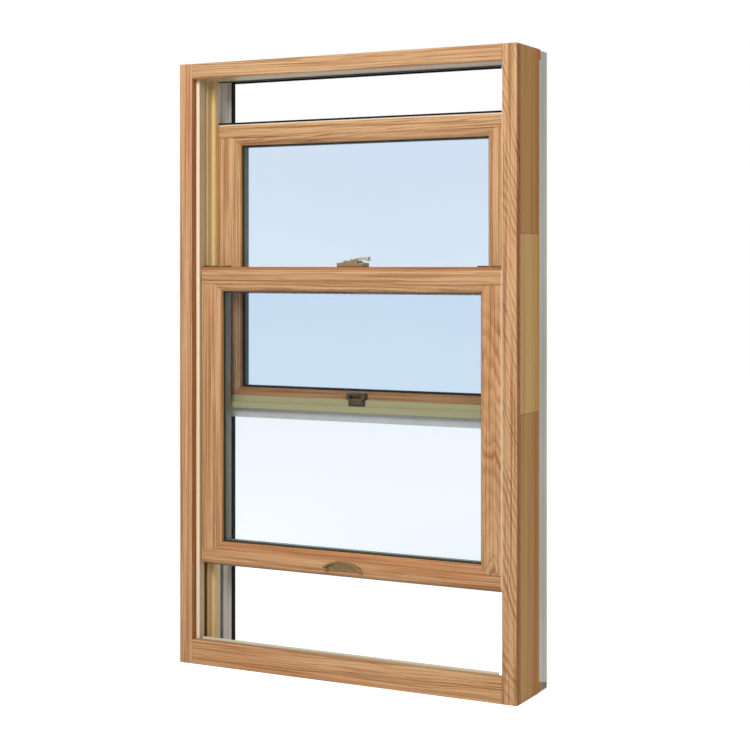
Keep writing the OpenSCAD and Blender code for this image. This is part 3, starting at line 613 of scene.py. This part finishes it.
@dataclass(frozen=True)
class PaintFinish:
    """Satin paint on extruded aluminium.

    Attributes:
        dust: A duller tone in soft clouds.
        seams: Depths at which folded edges meet.
        seam: Colour of the dark line along a seam.
        seam_line: Distances from a seam at which the dark line starts and is full, and its share.
        peel: Fine unevenness of the paint.
    """

    colour: Colour = srgb(214, 207, 195)
    dust: Colour = srgb(198, 190, 177)
    seams: Tuple[float, ...] = ()
    seam: Colour = srgb(128, 122, 112)
    seam_line: Triple = (1.1 * MM, 0.3 * MM, 0.6)
    peel: Pattern = Pattern((900, 900, 900), 1, 1)
    relief: Range = (0.03 * MM, 0.6)
    cloud: Pattern = Pattern((12, 12, 4), 3, 2, (0.35, 0.75))
    rough: Range = (0.15, 0.32)

    def make(self, name: str) -> Material:
        """Makes the paint.

        Args:
            name: The material's name.

        Returns:
            The material.
        """
        graph = Graph(name)
        spot = graph.place()
        depth = graph.split(spot)[1]
        cloud = graph.noise(spot, self.cloud)
        colour = graph.mix(graph.ramp(cloud, *self.cloud.shown), self.colour, self.dust)
        for seam in self.seams:
            away = graph.math("ABSOLUTE", graph.math("SUBTRACT", depth, seam))
            colour = graph.mix(graph.ramp(away, *self.seam_line), colour, self.seam)
        return graph.surface({"Base Color": colour, "Roughness": graph.scaled(cloud, *self.rough),
                              "Normal": graph.bump(graph.noise(spot, self.peel), *self.relief)})


@dataclass(frozen=True)
class SealFinish:
    """Dull rubber or pile.

    Attributes:
        worn: Paler tone where it is rubbed.
        cloud: Where it is rubbed.
    """

    colour: Colour = srgb(20, 20, 19)
    worn: Colour = srgb(36, 35, 33)
    cloud: Pattern = Pattern((40, 40, 40), 2, 2)
    fuzz: Pattern = Pattern((1400, 1400, 1400), 2, 1)
    relief: Range = (0.2 * MM, 0.3)
    rough: Range = (0.2, 0.7)
    shine: float = 0.15

    def make(self, name: str) -> Material:
        """Makes the seal.

        Args:
            name: The material's name.

        Returns:
            The material.
        """
        graph = Graph(name)
        spot = graph.place()
        fuzz = graph.noise(spot, self.fuzz)
        colour = graph.mix(graph.times(fuzz, graph.noise(spot, self.cloud)), self.colour, self.worn)
        return graph.surface({"Base Color": colour, "Roughness": graph.scaled(fuzz, *self.rough),
                              "Normal": graph.bump(fuzz, *self.relief), "Specular IOR Level": self.shine})


@dataclass(frozen=True)
class GlassFinish:
    """Clear float glass with a faint tint; its blue, stronger towards the top, is a painted sky reflection.

    Attributes:
        top: What each pane lets through at its top.
        foot: What each pane lets through at its foot.
        cloud: Soft clouds in the painted sky reflection.
        cloud_drop: How far the clouds move the painted sky reflection up and down.
        index: Refractive index that sets the reflection's strength.
    """

    top: Colour
    foot: Colour
    cloud: Pattern = Pattern((2.2, 2.2, 3.5), 2, 3)
    cloud_drop: float = 0.25
    smooth: float = 0.02
    index: float = 1.12

    def make(self, name: str, low: float, high: float) -> Material:
        """Makes the glass.

        Args:
            name: The material's name.
            low: Height of the pane's foot.
            high: Height of the pane's top.

        Returns:
            The material.
        """
        graph = Graph(name)
        spot = graph.place()
        cloud = graph.math("ADD", graph.noise(spot, self.cloud), -0.5)
        level = graph.scaled(cloud, self.cloud_drop, graph.split(spot)[2])
        # The tint grades from foot to top as a painted sky reflection.
        tint = graph.mix(graph.ramp(level, low, high), self.foot, self.top)
        clear = graph.node("BsdfTransparent", {0: tint}).outputs[0]
        gloss = graph.node("BsdfGlossy", {"Color": WHITE, "Roughness": self.smooth}).outputs[0]
        share = graph.node("Fresnel", {"IOR": self.index}).outputs[0]
        return graph.end(graph.node("MixShader", {0: share, 1: clear, 2: gloss}).outputs[0])


@dataclass(frozen=True)
class MetalFinish:
    """Bare or darkened metal with another tone on its edges.

    Attributes:
        flat: Metal on the flats.
        edge: Metal on the edges, brighter where rubbed; darker edges are a painted dark reflection.
        smooth: Roughness between the brush lines.
        bare: Share of bare metal, the rest being tarnish.
        edge_turn: Cosines of the turn at which the edge's tone starts and is full.
        cloud: Clouds in which the edges show.
        spot: Where in the clouds spots of the edge's tone start and are full, and their share.
    """

    flat: Colour
    edge: Colour
    smooth: float
    bare: float = 1.0
    edge_width: float = 0.9 * MM
    edge_turn: Range = (0.995, 0.9)
    brush: Pattern = Pattern((60, 1500, 1500), 2, 1)
    relief: Range = (0.02 * MM, 0.5)
    brush_rough: float = 0.16
    cloud: Pattern = Pattern((110, 110, 110), 3, 2, (0.3, 0.6))
    spot: Triple = (0.5, 0.8, 0.3)
    cloud_rough: float = 0.12

    def make(self, name: str) -> Material:
        """Makes the metal.

        Args:
            name: The material's name.

        Returns:
            The material.
        """
        graph = Graph(name)
        place = graph.place()
        brush = graph.noise(place, self.brush)
        cloud = graph.noise(place, self.cloud)
        rounded = graph.node("Bevel", {"Radius": self.edge_width}).outputs[0]
        normal = graph.node("NewGeometry", {}).outputs["Normal"]
        turn = graph.node("VectorMath", {0: rounded, 1: normal}, operation="DOT_PRODUCT").outputs["Value"]
        edges = graph.times(graph.ramp(turn, *self.edge_turn), graph.ramp(cloud, *self.cloud.shown))
        colour = graph.mix(graph.math("MAXIMUM", edges, graph.ramp(cloud, *self.spot)), self.flat, self.edge)
        rough = graph.scaled(brush, self.brush_rough, graph.scaled(cloud, self.cloud_rough, self.smooth))
        return graph.surface({"Base Color": colour, "Metallic": self.bare, "Roughness": rough,
                              "Normal": graph.bump(brush, *self.relief)})


class Steel(Enum):
    """Plain steel, as each hidden piece wears it."""

    TUBE = MetalFinish(srgb(120, 118, 112), srgb(190, 188, 180), 0.21)
    SHOE = MetalFinish(srgb(120, 118, 112), srgb(190, 188, 180), 0.26)


class Brass(Enum):
    """Darkened brass, as each kind of hardware wears it."""

    PLAIN = MetalFinish(srgb(86, 69, 40), srgb(198, 176, 134), 0.26, 0.55)
    LIFT = MetalFinish(srgb(124, 98, 60), srgb(222, 204, 166), 0.22, 0.6)
    # The base and lever have dark edges as a painted dark reflection, and the lever's light flats are partly
    # a painted highlight.
    BASE = MetalFinish(srgb(146, 124, 90), srgb(44, 33, 18), 0.18, 0.6, 1.9 * MM)
    LEVER = MetalFinish(srgb(196, 181, 152), srgb(54, 44, 28), 0.16, 0.6, 1.4 * MM)


def only(piece: Piece) -> None:
    """Selects one object alone and makes it active.

    Args:
        piece: The object.
    """
    bpy.ops.object.select_all(action="DESELECT")
    piece.select_set(True)
    bpy.context.view_layer.objects.active = piece


def shape_faces(piece: Piece, test: FaceTest, step: Callable[[], object]) -> None:
    """Runs one edit-mode step on some faces of a piece.

    Args:
        piece: The piece.
        test: Tells which faces it is done to.
        step: What is done to them.
    """
    only(piece)
    bpy.ops.object.mode_set(mode="EDIT")
    bpy.ops.mesh.select_mode(type="FACE")
    bpy.ops.mesh.select_all(action="DESELECT")
    bpy.ops.object.mode_set(mode="OBJECT")
    for face in piece.data.polygons:
        face.select = test(face)
    bpy.ops.object.mode_set(mode="EDIT")
    step()
    bpy.ops.object.mode_set(mode="OBJECT")


def block(middle: Vector, size: Sequence[float]) -> Piece:
    """Adds a block with its place in its mesh.

    Args:
        middle: The block's middle.
        size: Its lengths along X, Y and Z.

    Returns:
        The block.
    """
    bpy.ops.object.select_all(action="DESELECT")
    bpy.ops.mesh.primitive_cube_add(size=1, location=middle)
    made = bpy.context.object
    made.scale = size
    bpy.ops.object.transform_apply(location=True, rotation=True, scale=True)
    return made


def wear(piece: Piece, material: Material) -> None:
    """Gives a piece one material all over.

    Args:
        piece: The piece.
        material: The material.
    """
    if not piece.material_slots:
        piece.data.materials.append(material)
    for slot in piece.material_slots:
        slot.material = material


def dress(nodes: Sequence[str], material: Material) -> None:
    """Gives solids that stay as they are a finish.

    Args:
        nodes: Names of the solids.
        material: The finish.
    """
    for node in nodes:
        wear(frame["nodes"][node], material)
        LOG.info("dressed %s in %s", node, material.name)


def body_of(node: str) -> str:
    """Name of the body that carries a node."""
    return frame["nodes"][node]["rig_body"]


def slot_of(node: str) -> str:
    """Name of the record's material slot for a node."""
    return next(part["material_slot"] for part in frame["record"]["subparts"] if part["node"] == node)


def middle_of(node: str) -> Vector:
    """Middle of a node's box."""
    low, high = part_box(node)
    return (low + high) / 2


@dataclass
class EasedPiece:
    """A piece with its sharp edges eased, as sanding or casting leaves them.

    Attributes:
        node: The solid that it stands for.
        ease: Width of the eased edge.
        sharp: Angle past which an edge is eased, in degrees.
        weld: Distance within which loose corners are one.
        flat: Angle up to which facets are one face, in degrees.
    """

    node: str
    ease: float
    steps: int = 2
    sharp: float = 32.0
    weld: float = 0.002 * MM
    flat: float = 0.4

    def build(self) -> Piece:
        """Makes the eased piece and hides the solid.

        Returns:
            The new piece, on the same body.
        """
        solid = frame["nodes"][self.node]
        piece = solid.copy()
        piece.data = solid.data.copy()
        for key in list(piece.keys()):
            if key.startswith("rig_"):
                del piece[key]
        piece.parent = None
        piece.name = self.node + "_eased"
        bpy.context.scene.collection.objects.link(piece)
        only(piece)
        bpy.ops.mesh.customdata_custom_splitnormals_clear()
        bpy.ops.object.mode_set(mode="EDIT")
        bpy.ops.mesh.select_all(action="SELECT")
        bpy.ops.mesh.remove_doubles(threshold=self.weld)
        bpy.ops.mesh.dissolve_limited(angle_limit=math.radians(self.flat))
        bpy.ops.object.mode_set(mode="OBJECT")
        bevel = piece.modifiers.new("ease", "BEVEL")
        bevel.width = self.ease
        bevel.segments = self.steps
        bevel.limit_method = "ANGLE"
        bevel.angle_limit = math.radians(self.sharp)
        bpy.ops.object.modifier_apply(modifier=bevel.name)
        bpy.ops.object.shade_smooth_by_angle(angle=math.radians(self.sharp))
        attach(piece, body_of(self.node))
        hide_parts(self.node)
        slot_of(self.node)
        return piece


@dataclass
class OakPiece:
    """One board of the frame or of a sash.

    Attributes:
        node: The solid that it stands for.
        grain: Way its fibres run.
        cut: How it was cut.
        ease: Width of its eased edges.
    """

    node: str
    grain: Grain
    cut: Cut
    ease: float = 0.5 * MM

    def finish(self, kind: Oak) -> Material:
        """Makes one kind of oak for this board."""
        name = f"{kind.name.lower()}_{self.node}"
        return kind.value.make(name, self.grain, self.cut, middle_of(self.node))

    def build(self) -> Piece:
        """Builds the board and dresses it in oak.

        Returns:
            The board.
        """
        piece = EasedPiece(self.node, self.ease).build()
        wear(piece, self.finish(Oak.OAK))
        LOG.info("oak piece %s", piece.name)
        return piece

    def edge(self, piece: Piece, kind: Oak, test: FaceTest) -> None:
        """Dresses some faces of the board in another oak.

        Args:
            piece: The board.
            kind: The other oak.
            test: Tells which faces take it.
        """
        piece.data.materials.append(self.finish(kind))
        for face in piece.data.polygons:
            if test(face):
                face.material_index = len(piece.data.materials) - 1


@dataclass
class PileFringe:
    """Tufts that hang from the black pile under the head's outer stop.

    Attributes:
        pile: Height of the pile that they hang from.
        inset: How far they stay inside the pile's front and back.
        end: How far they stay inside its ends.
        tip: Size of a tuft's tip as a share of its root.
        downward: Highest Z of the normal of a face that looks down.
    """

    pile: float = 4.5 * MM
    drop: float = 2.4 * MM
    pitch: float = 2.5 * MM
    inset: float = 1.0 * MM
    end: float = 4.0 * MM
    tip: Triple = (0.5, 0.7, 1.0)
    downward: float = -0.9

    def build(self, material: Material) -> None:
        """Makes the row of tufts and dresses it.

        Args:
            material: The pile's finish.
        """
        low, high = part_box("frame_weatherstrip")
        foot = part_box("head_cladding")[0].z - self.pile
        middle = Vector((low.x + self.end, (low.y + high.y) / 2, foot - (self.drop - self.inset) / 2))
        fringe = block(middle, (self.pitch, high.y - low.y - 2 * self.inset, self.drop + self.inset))
        fringe.name = "head_pile_fringe"
        shape_faces(fringe, lambda face: face.normal.z < self.downward,
                    lambda: bpy.ops.transform.resize(value=self.tip))
        row = fringe.modifiers.new("row", "ARRAY")
        row.count = int((high.x - low.x - 2 * self.end) / self.pitch)
        row.use_relative_offset = False
        row.use_constant_offset = True
        row.constant_offset_displace = (self.pitch, 0, 0)
        LOG.info("pile fringe of %d tufts", row.count)
        bpy.ops.object.modifier_apply(modifier=row.name)
        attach(fringe, body_of("frame_weatherstrip"))
        wear(fringe, material)


@dataclass
class WindowFrame:
    """Jambs, head, sill, liners, stops and outer cladding.

    Attributes:
        boards: The oak pieces that face the room.
        stop_gap: How far behind the oak the cream stop ends.
        lip_gap: How far below the head's oak the black lip starts.
        folds: Depths of the cladding's folded edges, behind the back of the jamb.
    """

    boards: Tuple[OakPiece, ...] = (
        OakPiece("left_face_trim", Grain.UPRIGHT,
                 Cut(90 * MM, 60 * MM, 0.016, 3.0 * MM, seed=1, warmth=0.60), 0.8 * MM),
        OakPiece("right_face_trim", Grain.UPRIGHT,
                 Cut(60 * MM, 40 * MM, 0.040, 5.5 * MM, seed=2, warmth=0.35, wave=70 * MM, slant=-0.22),
                 0.8 * MM),
        OakPiece("head_face_trim", Grain.LEVEL,
                 Cut(80 * MM, 50 * MM, 0.012, 3.6 * MM, seed=3, warmth=0.30, wave=24 * MM, slant=0.02)),
        OakPiece("sill_face_trim", Grain.LEVEL,
                 Cut(60 * MM, 70 * MM, 0.020, 3.0 * MM, seed=4, warmth=0.60, wave=12 * MM)),
    )
    # Partly painted shade of the track, as on the liner.
    cover_beige: Colour = srgb(226, 204, 158)
    cover_grey: Colour = srgb(238, 236, 228)
    stop_gap: float = 0.4 * MM
    lip_gap: float = 0.1 * MM
    folds: Tuple[float, ...] = (-1.1 * MM, 9.9 * MM)

    def build(self) -> None:
        """Makes the oak boards of the frame."""
        for board in self.boards:
            board.build()

    def dress(self) -> None:
        """Gives the other pieces of the frame their finishes."""
        pine = PineFinish()
        carcass = {"left_jamb": Grain.UPRIGHT, "right_jamb": Grain.UPRIGHT,
                   "head_jamb": Grain.LEVEL, "sill": Grain.LEVEL}
        for node, grain in carcass.items():
            dress([node], pine.make("pine_" + node, grain, middle_of(node)))
        self.dress_tracks()
        jamb_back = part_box("right_jamb")[1].y
        paint = PaintFinish(seams=tuple(jamb_back + fold for fold in self.folds))
        claddings = ["left_cladding", "right_cladding", "head_cladding", "sill_cladding"]
        dress(claddings, paint.make("grey_paint"))
        pile = SealFinish().make("black_pile")
        dress(["frame_weatherstrip"], pile)
        PileFringe().build(pile)
        dress(["lower_balance_tubes", "upper_balance_tubes"], Steel.TUBE.value.make("tube_steel"))

    def dress_tracks(self) -> None:
        """Gives liners, covers and stops their plastics."""
        cream_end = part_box("left_face_trim")[1].y + self.stop_gap
        liner = LinerFinish(cream_end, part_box("left_parting_stop")[1].y)
        dress(["left_liner", "right_liner"], liner.make("jamb_liner_vinyl"))
        cover = replace(liner, beige=self.cover_beige, grey=self.cover_grey)
        dress(["left_track_cover", "right_track_cover"], cover.make("track_cover_vinyl"))
        lip_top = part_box("head_face_trim")[0].z - self.lip_gap
        head = replace(Vinyl.HEAD.value, lip_top=lip_top)
        dress(["head_liner"], head.make("beige_vinyl_level"))
        dress(["left_parting_stop", "right_parting_stop"], Vinyl.PARTING.value.make("gold_stop"))
        dress(["sill_stop"], Vinyl.SILL.value.make("cream_vinyl"))


class Member(Enum):
    """The four oak members of a sash, by the ends of their names."""

    TOP_RAIL = "top_rail"
    BOTTOM_RAIL = "bottom_rail"
    LEFT_STILE = "left_stile"
    RIGHT_STILE = "right_stile"

    @property
    def grain(self) -> Grain:
        """Way the member's fibres run."""
        return Grain.LEVEL if self in (Member.TOP_RAIL, Member.BOTTOM_RAIL) else Grain.UPRIGHT


@dataclass
class Sash:
    """One sash: four oak members round sealed glass, with metal on the back.

    Attributes:
        side: Prefix of its nodes.
        cuts: How each member was cut.
        strips: Node, material's name and finish of each strip along its edges.
        shaded_top: The member, if any, whose faces that look up take a darker oak as painted shade.
        pale_width: How far inside the outer edge a chamfer with a painted highlight lies.
        chamfer: Y of a chamfer's normal, lowest and highest.
        upward: Lowest Z of the normal of a face that looks up.
    """

    side: str
    cuts: Dict[Member, Cut]
    glass: GlassFinish
    strips: Tuple[Tuple[str, str, Union[PlasticFinish, SealFinish]], ...]
    shaded_top: Optional[Member] = None
    spacer: PaintFinish = PaintFinish(srgb(106, 104, 84), srgb(84, 82, 66))
    gasket: SealFinish = SealFinish(srgb(50, 46, 32), srgb(86, 80, 62))
    pale_width: float = 2.6 * MM
    chamfer: Range = (-0.85, -0.5)
    upward: float = 0.2

    def build(self) -> None:
        """Makes the oak members."""
        left, right = (corner.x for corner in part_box(self.side + "_top_rail"))
        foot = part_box(self.side + "_bottom_rail")[0].z
        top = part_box(self.side + "_top_rail")[1].z

        def outer(face: bpy.types.MeshPolygon) -> bool:
            """Tells whether a face is a chamfer on the sash's outer edge.

            Args:
                face: The face.

            Returns:
                True for such a chamfer.
            """
            x, z = face.center.x, face.center.z
            inside = min(x - left, right - x, z - foot, top - z)
            return self.chamfer[0] < face.normal.y < self.chamfer[1] and inside < self.pale_width

        for member, cut in self.cuts.items():
            board = OakPiece(f"{self.side}_{member.value}", member.grain, cut)
            piece = board.build()
            # The outer front chamfers take the near-white oak as a painted highlight.
            board.edge(piece, Oak.PALE, outer)
            # Faces that look up take the darker oak as painted shade.
            if member is self.shaded_top:
                board.edge(piece, Oak.SHADED_TOP, lambda face: face.normal.z > self.upward)

    def dress(self) -> None:
        """Gives glass, gasket, metal, shoes and strips their finishes."""
        panes = [f"{self.side}_inner_pane", f"{self.side}_outer_pane"]
        low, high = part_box(panes[0])
        dress(panes, self.glass.make(self.side + "_glass", low.z, high.z))
        dress([f"{self.side}_spacer"], self.spacer.make(self.side + "_spacer_metal"))
        dress([f"{self.side}_gasket"], self.gasket.make(self.side + "_rubber"))
        dress([f"{self.side}_cladding"], PaintFinish().make(self.side + "_paint"))
        shoes = [f"{self.side}_left_shoe", f"{self.side}_right_shoe"]
        dress(shoes, Steel.SHOE.value.make(self.side + "_shoe_metal"))
        for node, material, finish in self.strips:
            dress([node], finish.make(material))


def lower_sash() -> Sash:
    """Describes the sash on the room's side.

    Returns:
        The lower sash.
    """
    cuts = {
        Member.TOP_RAIL: Cut(70 * MM, 60 * MM, 0.014, 4.2 * MM, seed=11, warmth=0.30,
                             wave=30 * MM, slant=0.03),
        Member.BOTTOM_RAIL: Cut(80 * MM, 60 * MM, 0.016, 2.8 * MM, seed=12, warmth=0.75),
        Member.LEFT_STILE: Cut(90 * MM, 50 * MM, 0.016, 2.6 * MM, seed=13, warmth=0.45),
        Member.RIGHT_STILE: Cut(4 * MM, 45 * MM, -0.09, 2.8 * MM, seed=14, warmth=0.40, wave=26 * MM),
    }
    glass = GlassFinish(top=srgb(250, 252, 254), foot=srgb(250, 252, 254))
    strips = (("lower_bottom_seal", "seal_vinyl", Vinyl.FOOT.value),)
    return Sash("lower", cuts, glass, strips, Member.TOP_RAIL)


def upper_sash() -> Sash:
    """Describes the sash on the outdoor side.

    Returns:
        The upper sash.
    """
    cuts = {
        Member.TOP_RAIL: Cut(80 * MM, 60 * MM, 0.012, 4.2 * MM, seed=21, warmth=0.30,
                             wave=30 * MM, slant=-0.03),
        # The check rail takes the side tone all over as painted shade.
        Member.BOTTOM_RAIL: Cut(80 * MM, 60 * MM, 0.014, 2.8 * MM, seed=22, warmth=0.50, painted_shade=0.75),
        Member.LEFT_STILE: Cut(70 * MM, 50 * MM, 0.018, 3.2 * MM, seed=23, warmth=0.05),
        Member.RIGHT_STILE: Cut(90 * MM, 50 * MM, 0.016, 3.0 * MM, seed=24, warmth=0.25),
    }
    # Bluer at the top as a painted sky reflection.
    glass = GlassFinish(top=srgb(243, 247, 252), foot=srgb(246, 250, 253))
    strips = (("upper_interlock", "interlock_vinyl", Vinyl.INTERLOCK.value),
              ("upper_top_seal", "top_rubber", SealFinish()))
    return Sash("upper", cuts, glass, strips)


@dataclass
class Screw:
    """A countersunk screw with a cross in its head.

    Attributes:
        name: The piece's name.
        spot: Middle of the head, in the face that it sits in.
        body: The body that it rides on.
        crown: Height of the head above that face, and its depth below.
        dome: Width of the rounded rim as a share of the crown.
        cross: Length and width of the cross as shares of the radius.
        upward: Lowest Z of the normal of a face that looks up.
    """

    name: str
    spot: Vector
    body: str
    radius: float = 3.2 * MM
    crown: float = 0.9 * MM
    sides: int = 32
    dome: float = 0.7
    dome_steps: int = 4
    cross: Range = (1.1, 0.26)
    upward: float = 0.9
    sharp: float = 30.0

    def cut_bar(self, screw: Piece, long: float, wide: float) -> None:
        """Cuts one bar of the cross into the head.

        Args:
            screw: The screw.
            long: Length of the bar along X.
            wide: Length of the bar along Y.
        """
        cutter = block(self.spot + Vector((0, 0, self.crown)), (long, wide, self.crown))
        only(screw)
        bar = screw.modifiers.new("cross", "BOOLEAN")
        bar.operation = "DIFFERENCE"
        bar.object = cutter
        bpy.ops.object.modifier_apply(modifier=bar.name)
        bpy.data.objects.remove(cutter)

    def build(self, material: Material) -> None:
        """Makes the screw and dresses it.

        Args:
            material: The screw's finish.
        """
        bpy.ops.object.select_all(action="DESELECT")
        bpy.ops.mesh.primitive_cylinder_add(vertices=self.sides, radius=self.radius,
                                            depth=2 * self.crown, location=self.spot)
        screw = bpy.context.object
        screw.name = self.name
        bpy.ops.object.transform_apply(location=True, rotation=True, scale=True)
        rim = self.crown * self.dome
        shape_faces(screw, lambda face: face.normal.z > self.upward,
                    lambda: bpy.ops.mesh.bevel(offset=rim, segments=self.dome_steps, affect="EDGES"))
        long, thin = (self.radius * share for share in self.cross)
        self.cut_bar(screw, long, thin)
        self.cut_bar(screw, thin, long)
        only(screw)
        bpy.ops.object.shade_smooth_by_angle(angle=math.radians(self.sharp))
        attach(screw, self.body)
        wear(screw, material)
        LOG.info("screw %s", self.name)


@dataclass
class Hardware:
    """Lock, keeper, lift and tilt latches, all of darkened brass.

    Attributes:
        castings: Each casting with the width of its eased edges and its brass.
        ear: Distance of a lock screw from the end of the lock's base.
        ear_top: Height of the face that a lock screw sits in.
    """

    castings: Tuple[Tuple[str, float, Brass], ...] = (
        ("lock_base", 0.9 * MM, Brass.BASE), ("lock_lever", 0.6 * MM, Brass.LEVER),
        ("keeper", 0.8 * MM, Brass.PLAIN), ("lift_handle", 0.5 * MM, Brass.LIFT),
        ("lower_latch_housings", 0.4 * MM, Brass.PLAIN), ("upper_latch_housings", 0.4 * MM, Brass.PLAIN))
    bolts: Tuple[str, ...] = ("lower_left_bolt", "lower_right_bolt", "upper_left_bolt", "upper_right_bolt")
    ear: float = 6.6 * MM
    ear_top: float = 7.0 * MM

    def build(self) -> None:
        """Makes the castings with eased edges, and the lock's screws, and dresses them."""
        metals = {kind: kind.value.make("brass_" + kind.name.lower()) for kind in Brass}
        for node, ease, kind in self.castings:
            wear(EasedPiece(node, ease).build(), metals[kind])
            LOG.info("casting %s", node)
        dress(self.bolts, metals[Brass.PLAIN])
        low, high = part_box("lock_base")
        middle = (low.y + high.y) / 2
        for name, along in (("left", low.x + self.ear), ("right", high.x - self.ear)):
            spot = Vector((along, middle, low.z + self.ear_top))
            Screw(f"lock_{name}_screw", spot, body_of("lock_base")).build(metals[Brass.PLAIN])


@dataclass
class Studio:
    """White floor, soft light and the camera.

    Attributes:
        eye: Where the camera stands.
        turn: How far it looks to the left of straight ahead, in degrees.
        focal: Focal length in millimetres on a sensor of the width below.
        sensor: Width of the sensor in millimetres.
        rise: How far the picture is shifted up, as a share of its width.
        floor_tone: Grey of the floor, which keeps the shadow.
        floor_glow: What the floor gives out where it is seen, to fade into white.
        sky_light: Strength of the light from all round.
    """

    eye: Triple = (1.3725, -2.5855, 0.7245)
    turn: float = 27.35
    focal: float = 79.44
    sensor: float = 36.0
    rise: float = -0.1467
    reach: float = 1000.0
    floor_size: float = 400.0
    floor_tone: float = 0.74
    floor_glow: float = 0.69
    key_spot: Triple = (0.25, -2.6, 2.3)
    key_aim: Triple = (0.0, 0.0, 0.7)
    key_size: float = 1.3
    key_power: float = 63.0
    sky_light: float = 0.42

    def camera(self) -> None:
        """Sets the camera at the photograph's angle."""
        data = bpy.data.cameras.new("camera")
        data.lens = self.focal
        data.sensor_width = self.sensor
        data.sensor_fit = "HORIZONTAL"
        data.shift_y = self.rise
        data.clip_end = self.reach
        camera = bpy.data.objects.new("camera", data)
        camera.location = self.eye
        camera.rotation_euler = (math.pi / 2, 0, math.radians(self.turn))
        bpy.context.scene.collection.objects.link(camera)
        bpy.context.scene.camera = camera

    def lamp(self) -> None:
        """Adds the soft square lamp in front."""
        data = bpy.data.lights.new("key", "AREA")
        data.size = self.key_size
        data.energy = self.key_power
        lamp = bpy.data.objects.new("key", data)
        lamp.location = self.key_spot
        lamp.rotation_euler = (Vector(self.key_aim) - lamp.location).to_track_quat("-Z", "Y").to_euler()
        bpy.context.scene.collection.objects.link(lamp)

    def sky(self) -> None:
        """Sets the white surroundings, softer as a light than they look."""
        graph = Graph("studio", "worlds")
        strength = graph.node("MapRange", {"Value": graph.seen(), "To Min": self.sky_light}).outputs[0]
        sky = graph.node("Background", {"Color": WHITE, "Strength": strength}).outputs[0]
        graph.node("OutputWorld", {"Surface": sky})
        bpy.context.scene.world = graph.owner

    def floor(self) -> None:
        """Lays a pale floor that keeps the window's shadow and fades into white."""
        bpy.ops.object.select_all(action="DESELECT")
        bpy.ops.mesh.primitive_plane_add(size=self.floor_size, location=STILL)
        floor = bpy.context.object
        floor.name = "floor"
        graph = Graph("pale_floor")
        tone = (self.floor_tone, self.floor_tone, self.floor_tone, 1.0)
        matt = graph.node("BsdfDiffuse", {"Color": tone}).outputs[0]
        strength = graph.times(graph.seen(), self.floor_glow)
        glow = graph.node("Emission", {"Color": WHITE, "Strength": strength}).outputs[0]
        wear(floor, graph.end(graph.node("AddShader", {0: matt, 1: glow}).outputs[0]))

    def build(self) -> None:
        """Sets up floor, light and camera."""
        self.floor()
        self.lamp()
        self.sky()
        self.camera()
        bpy.context.scene.view_settings.view_transform = "Standard"


def main() -> None:
    """Builds the window's pieces in order."""
    logging.basicConfig(level=logging.INFO, format="%(message)s")
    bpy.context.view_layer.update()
    for assembly in (WindowFrame(), lower_sash(), upper_sash()):
        assembly.build()
        assembly.dress()
    Hardware().build()
    Studio().build()


if __name__ == "__main__":
    main()
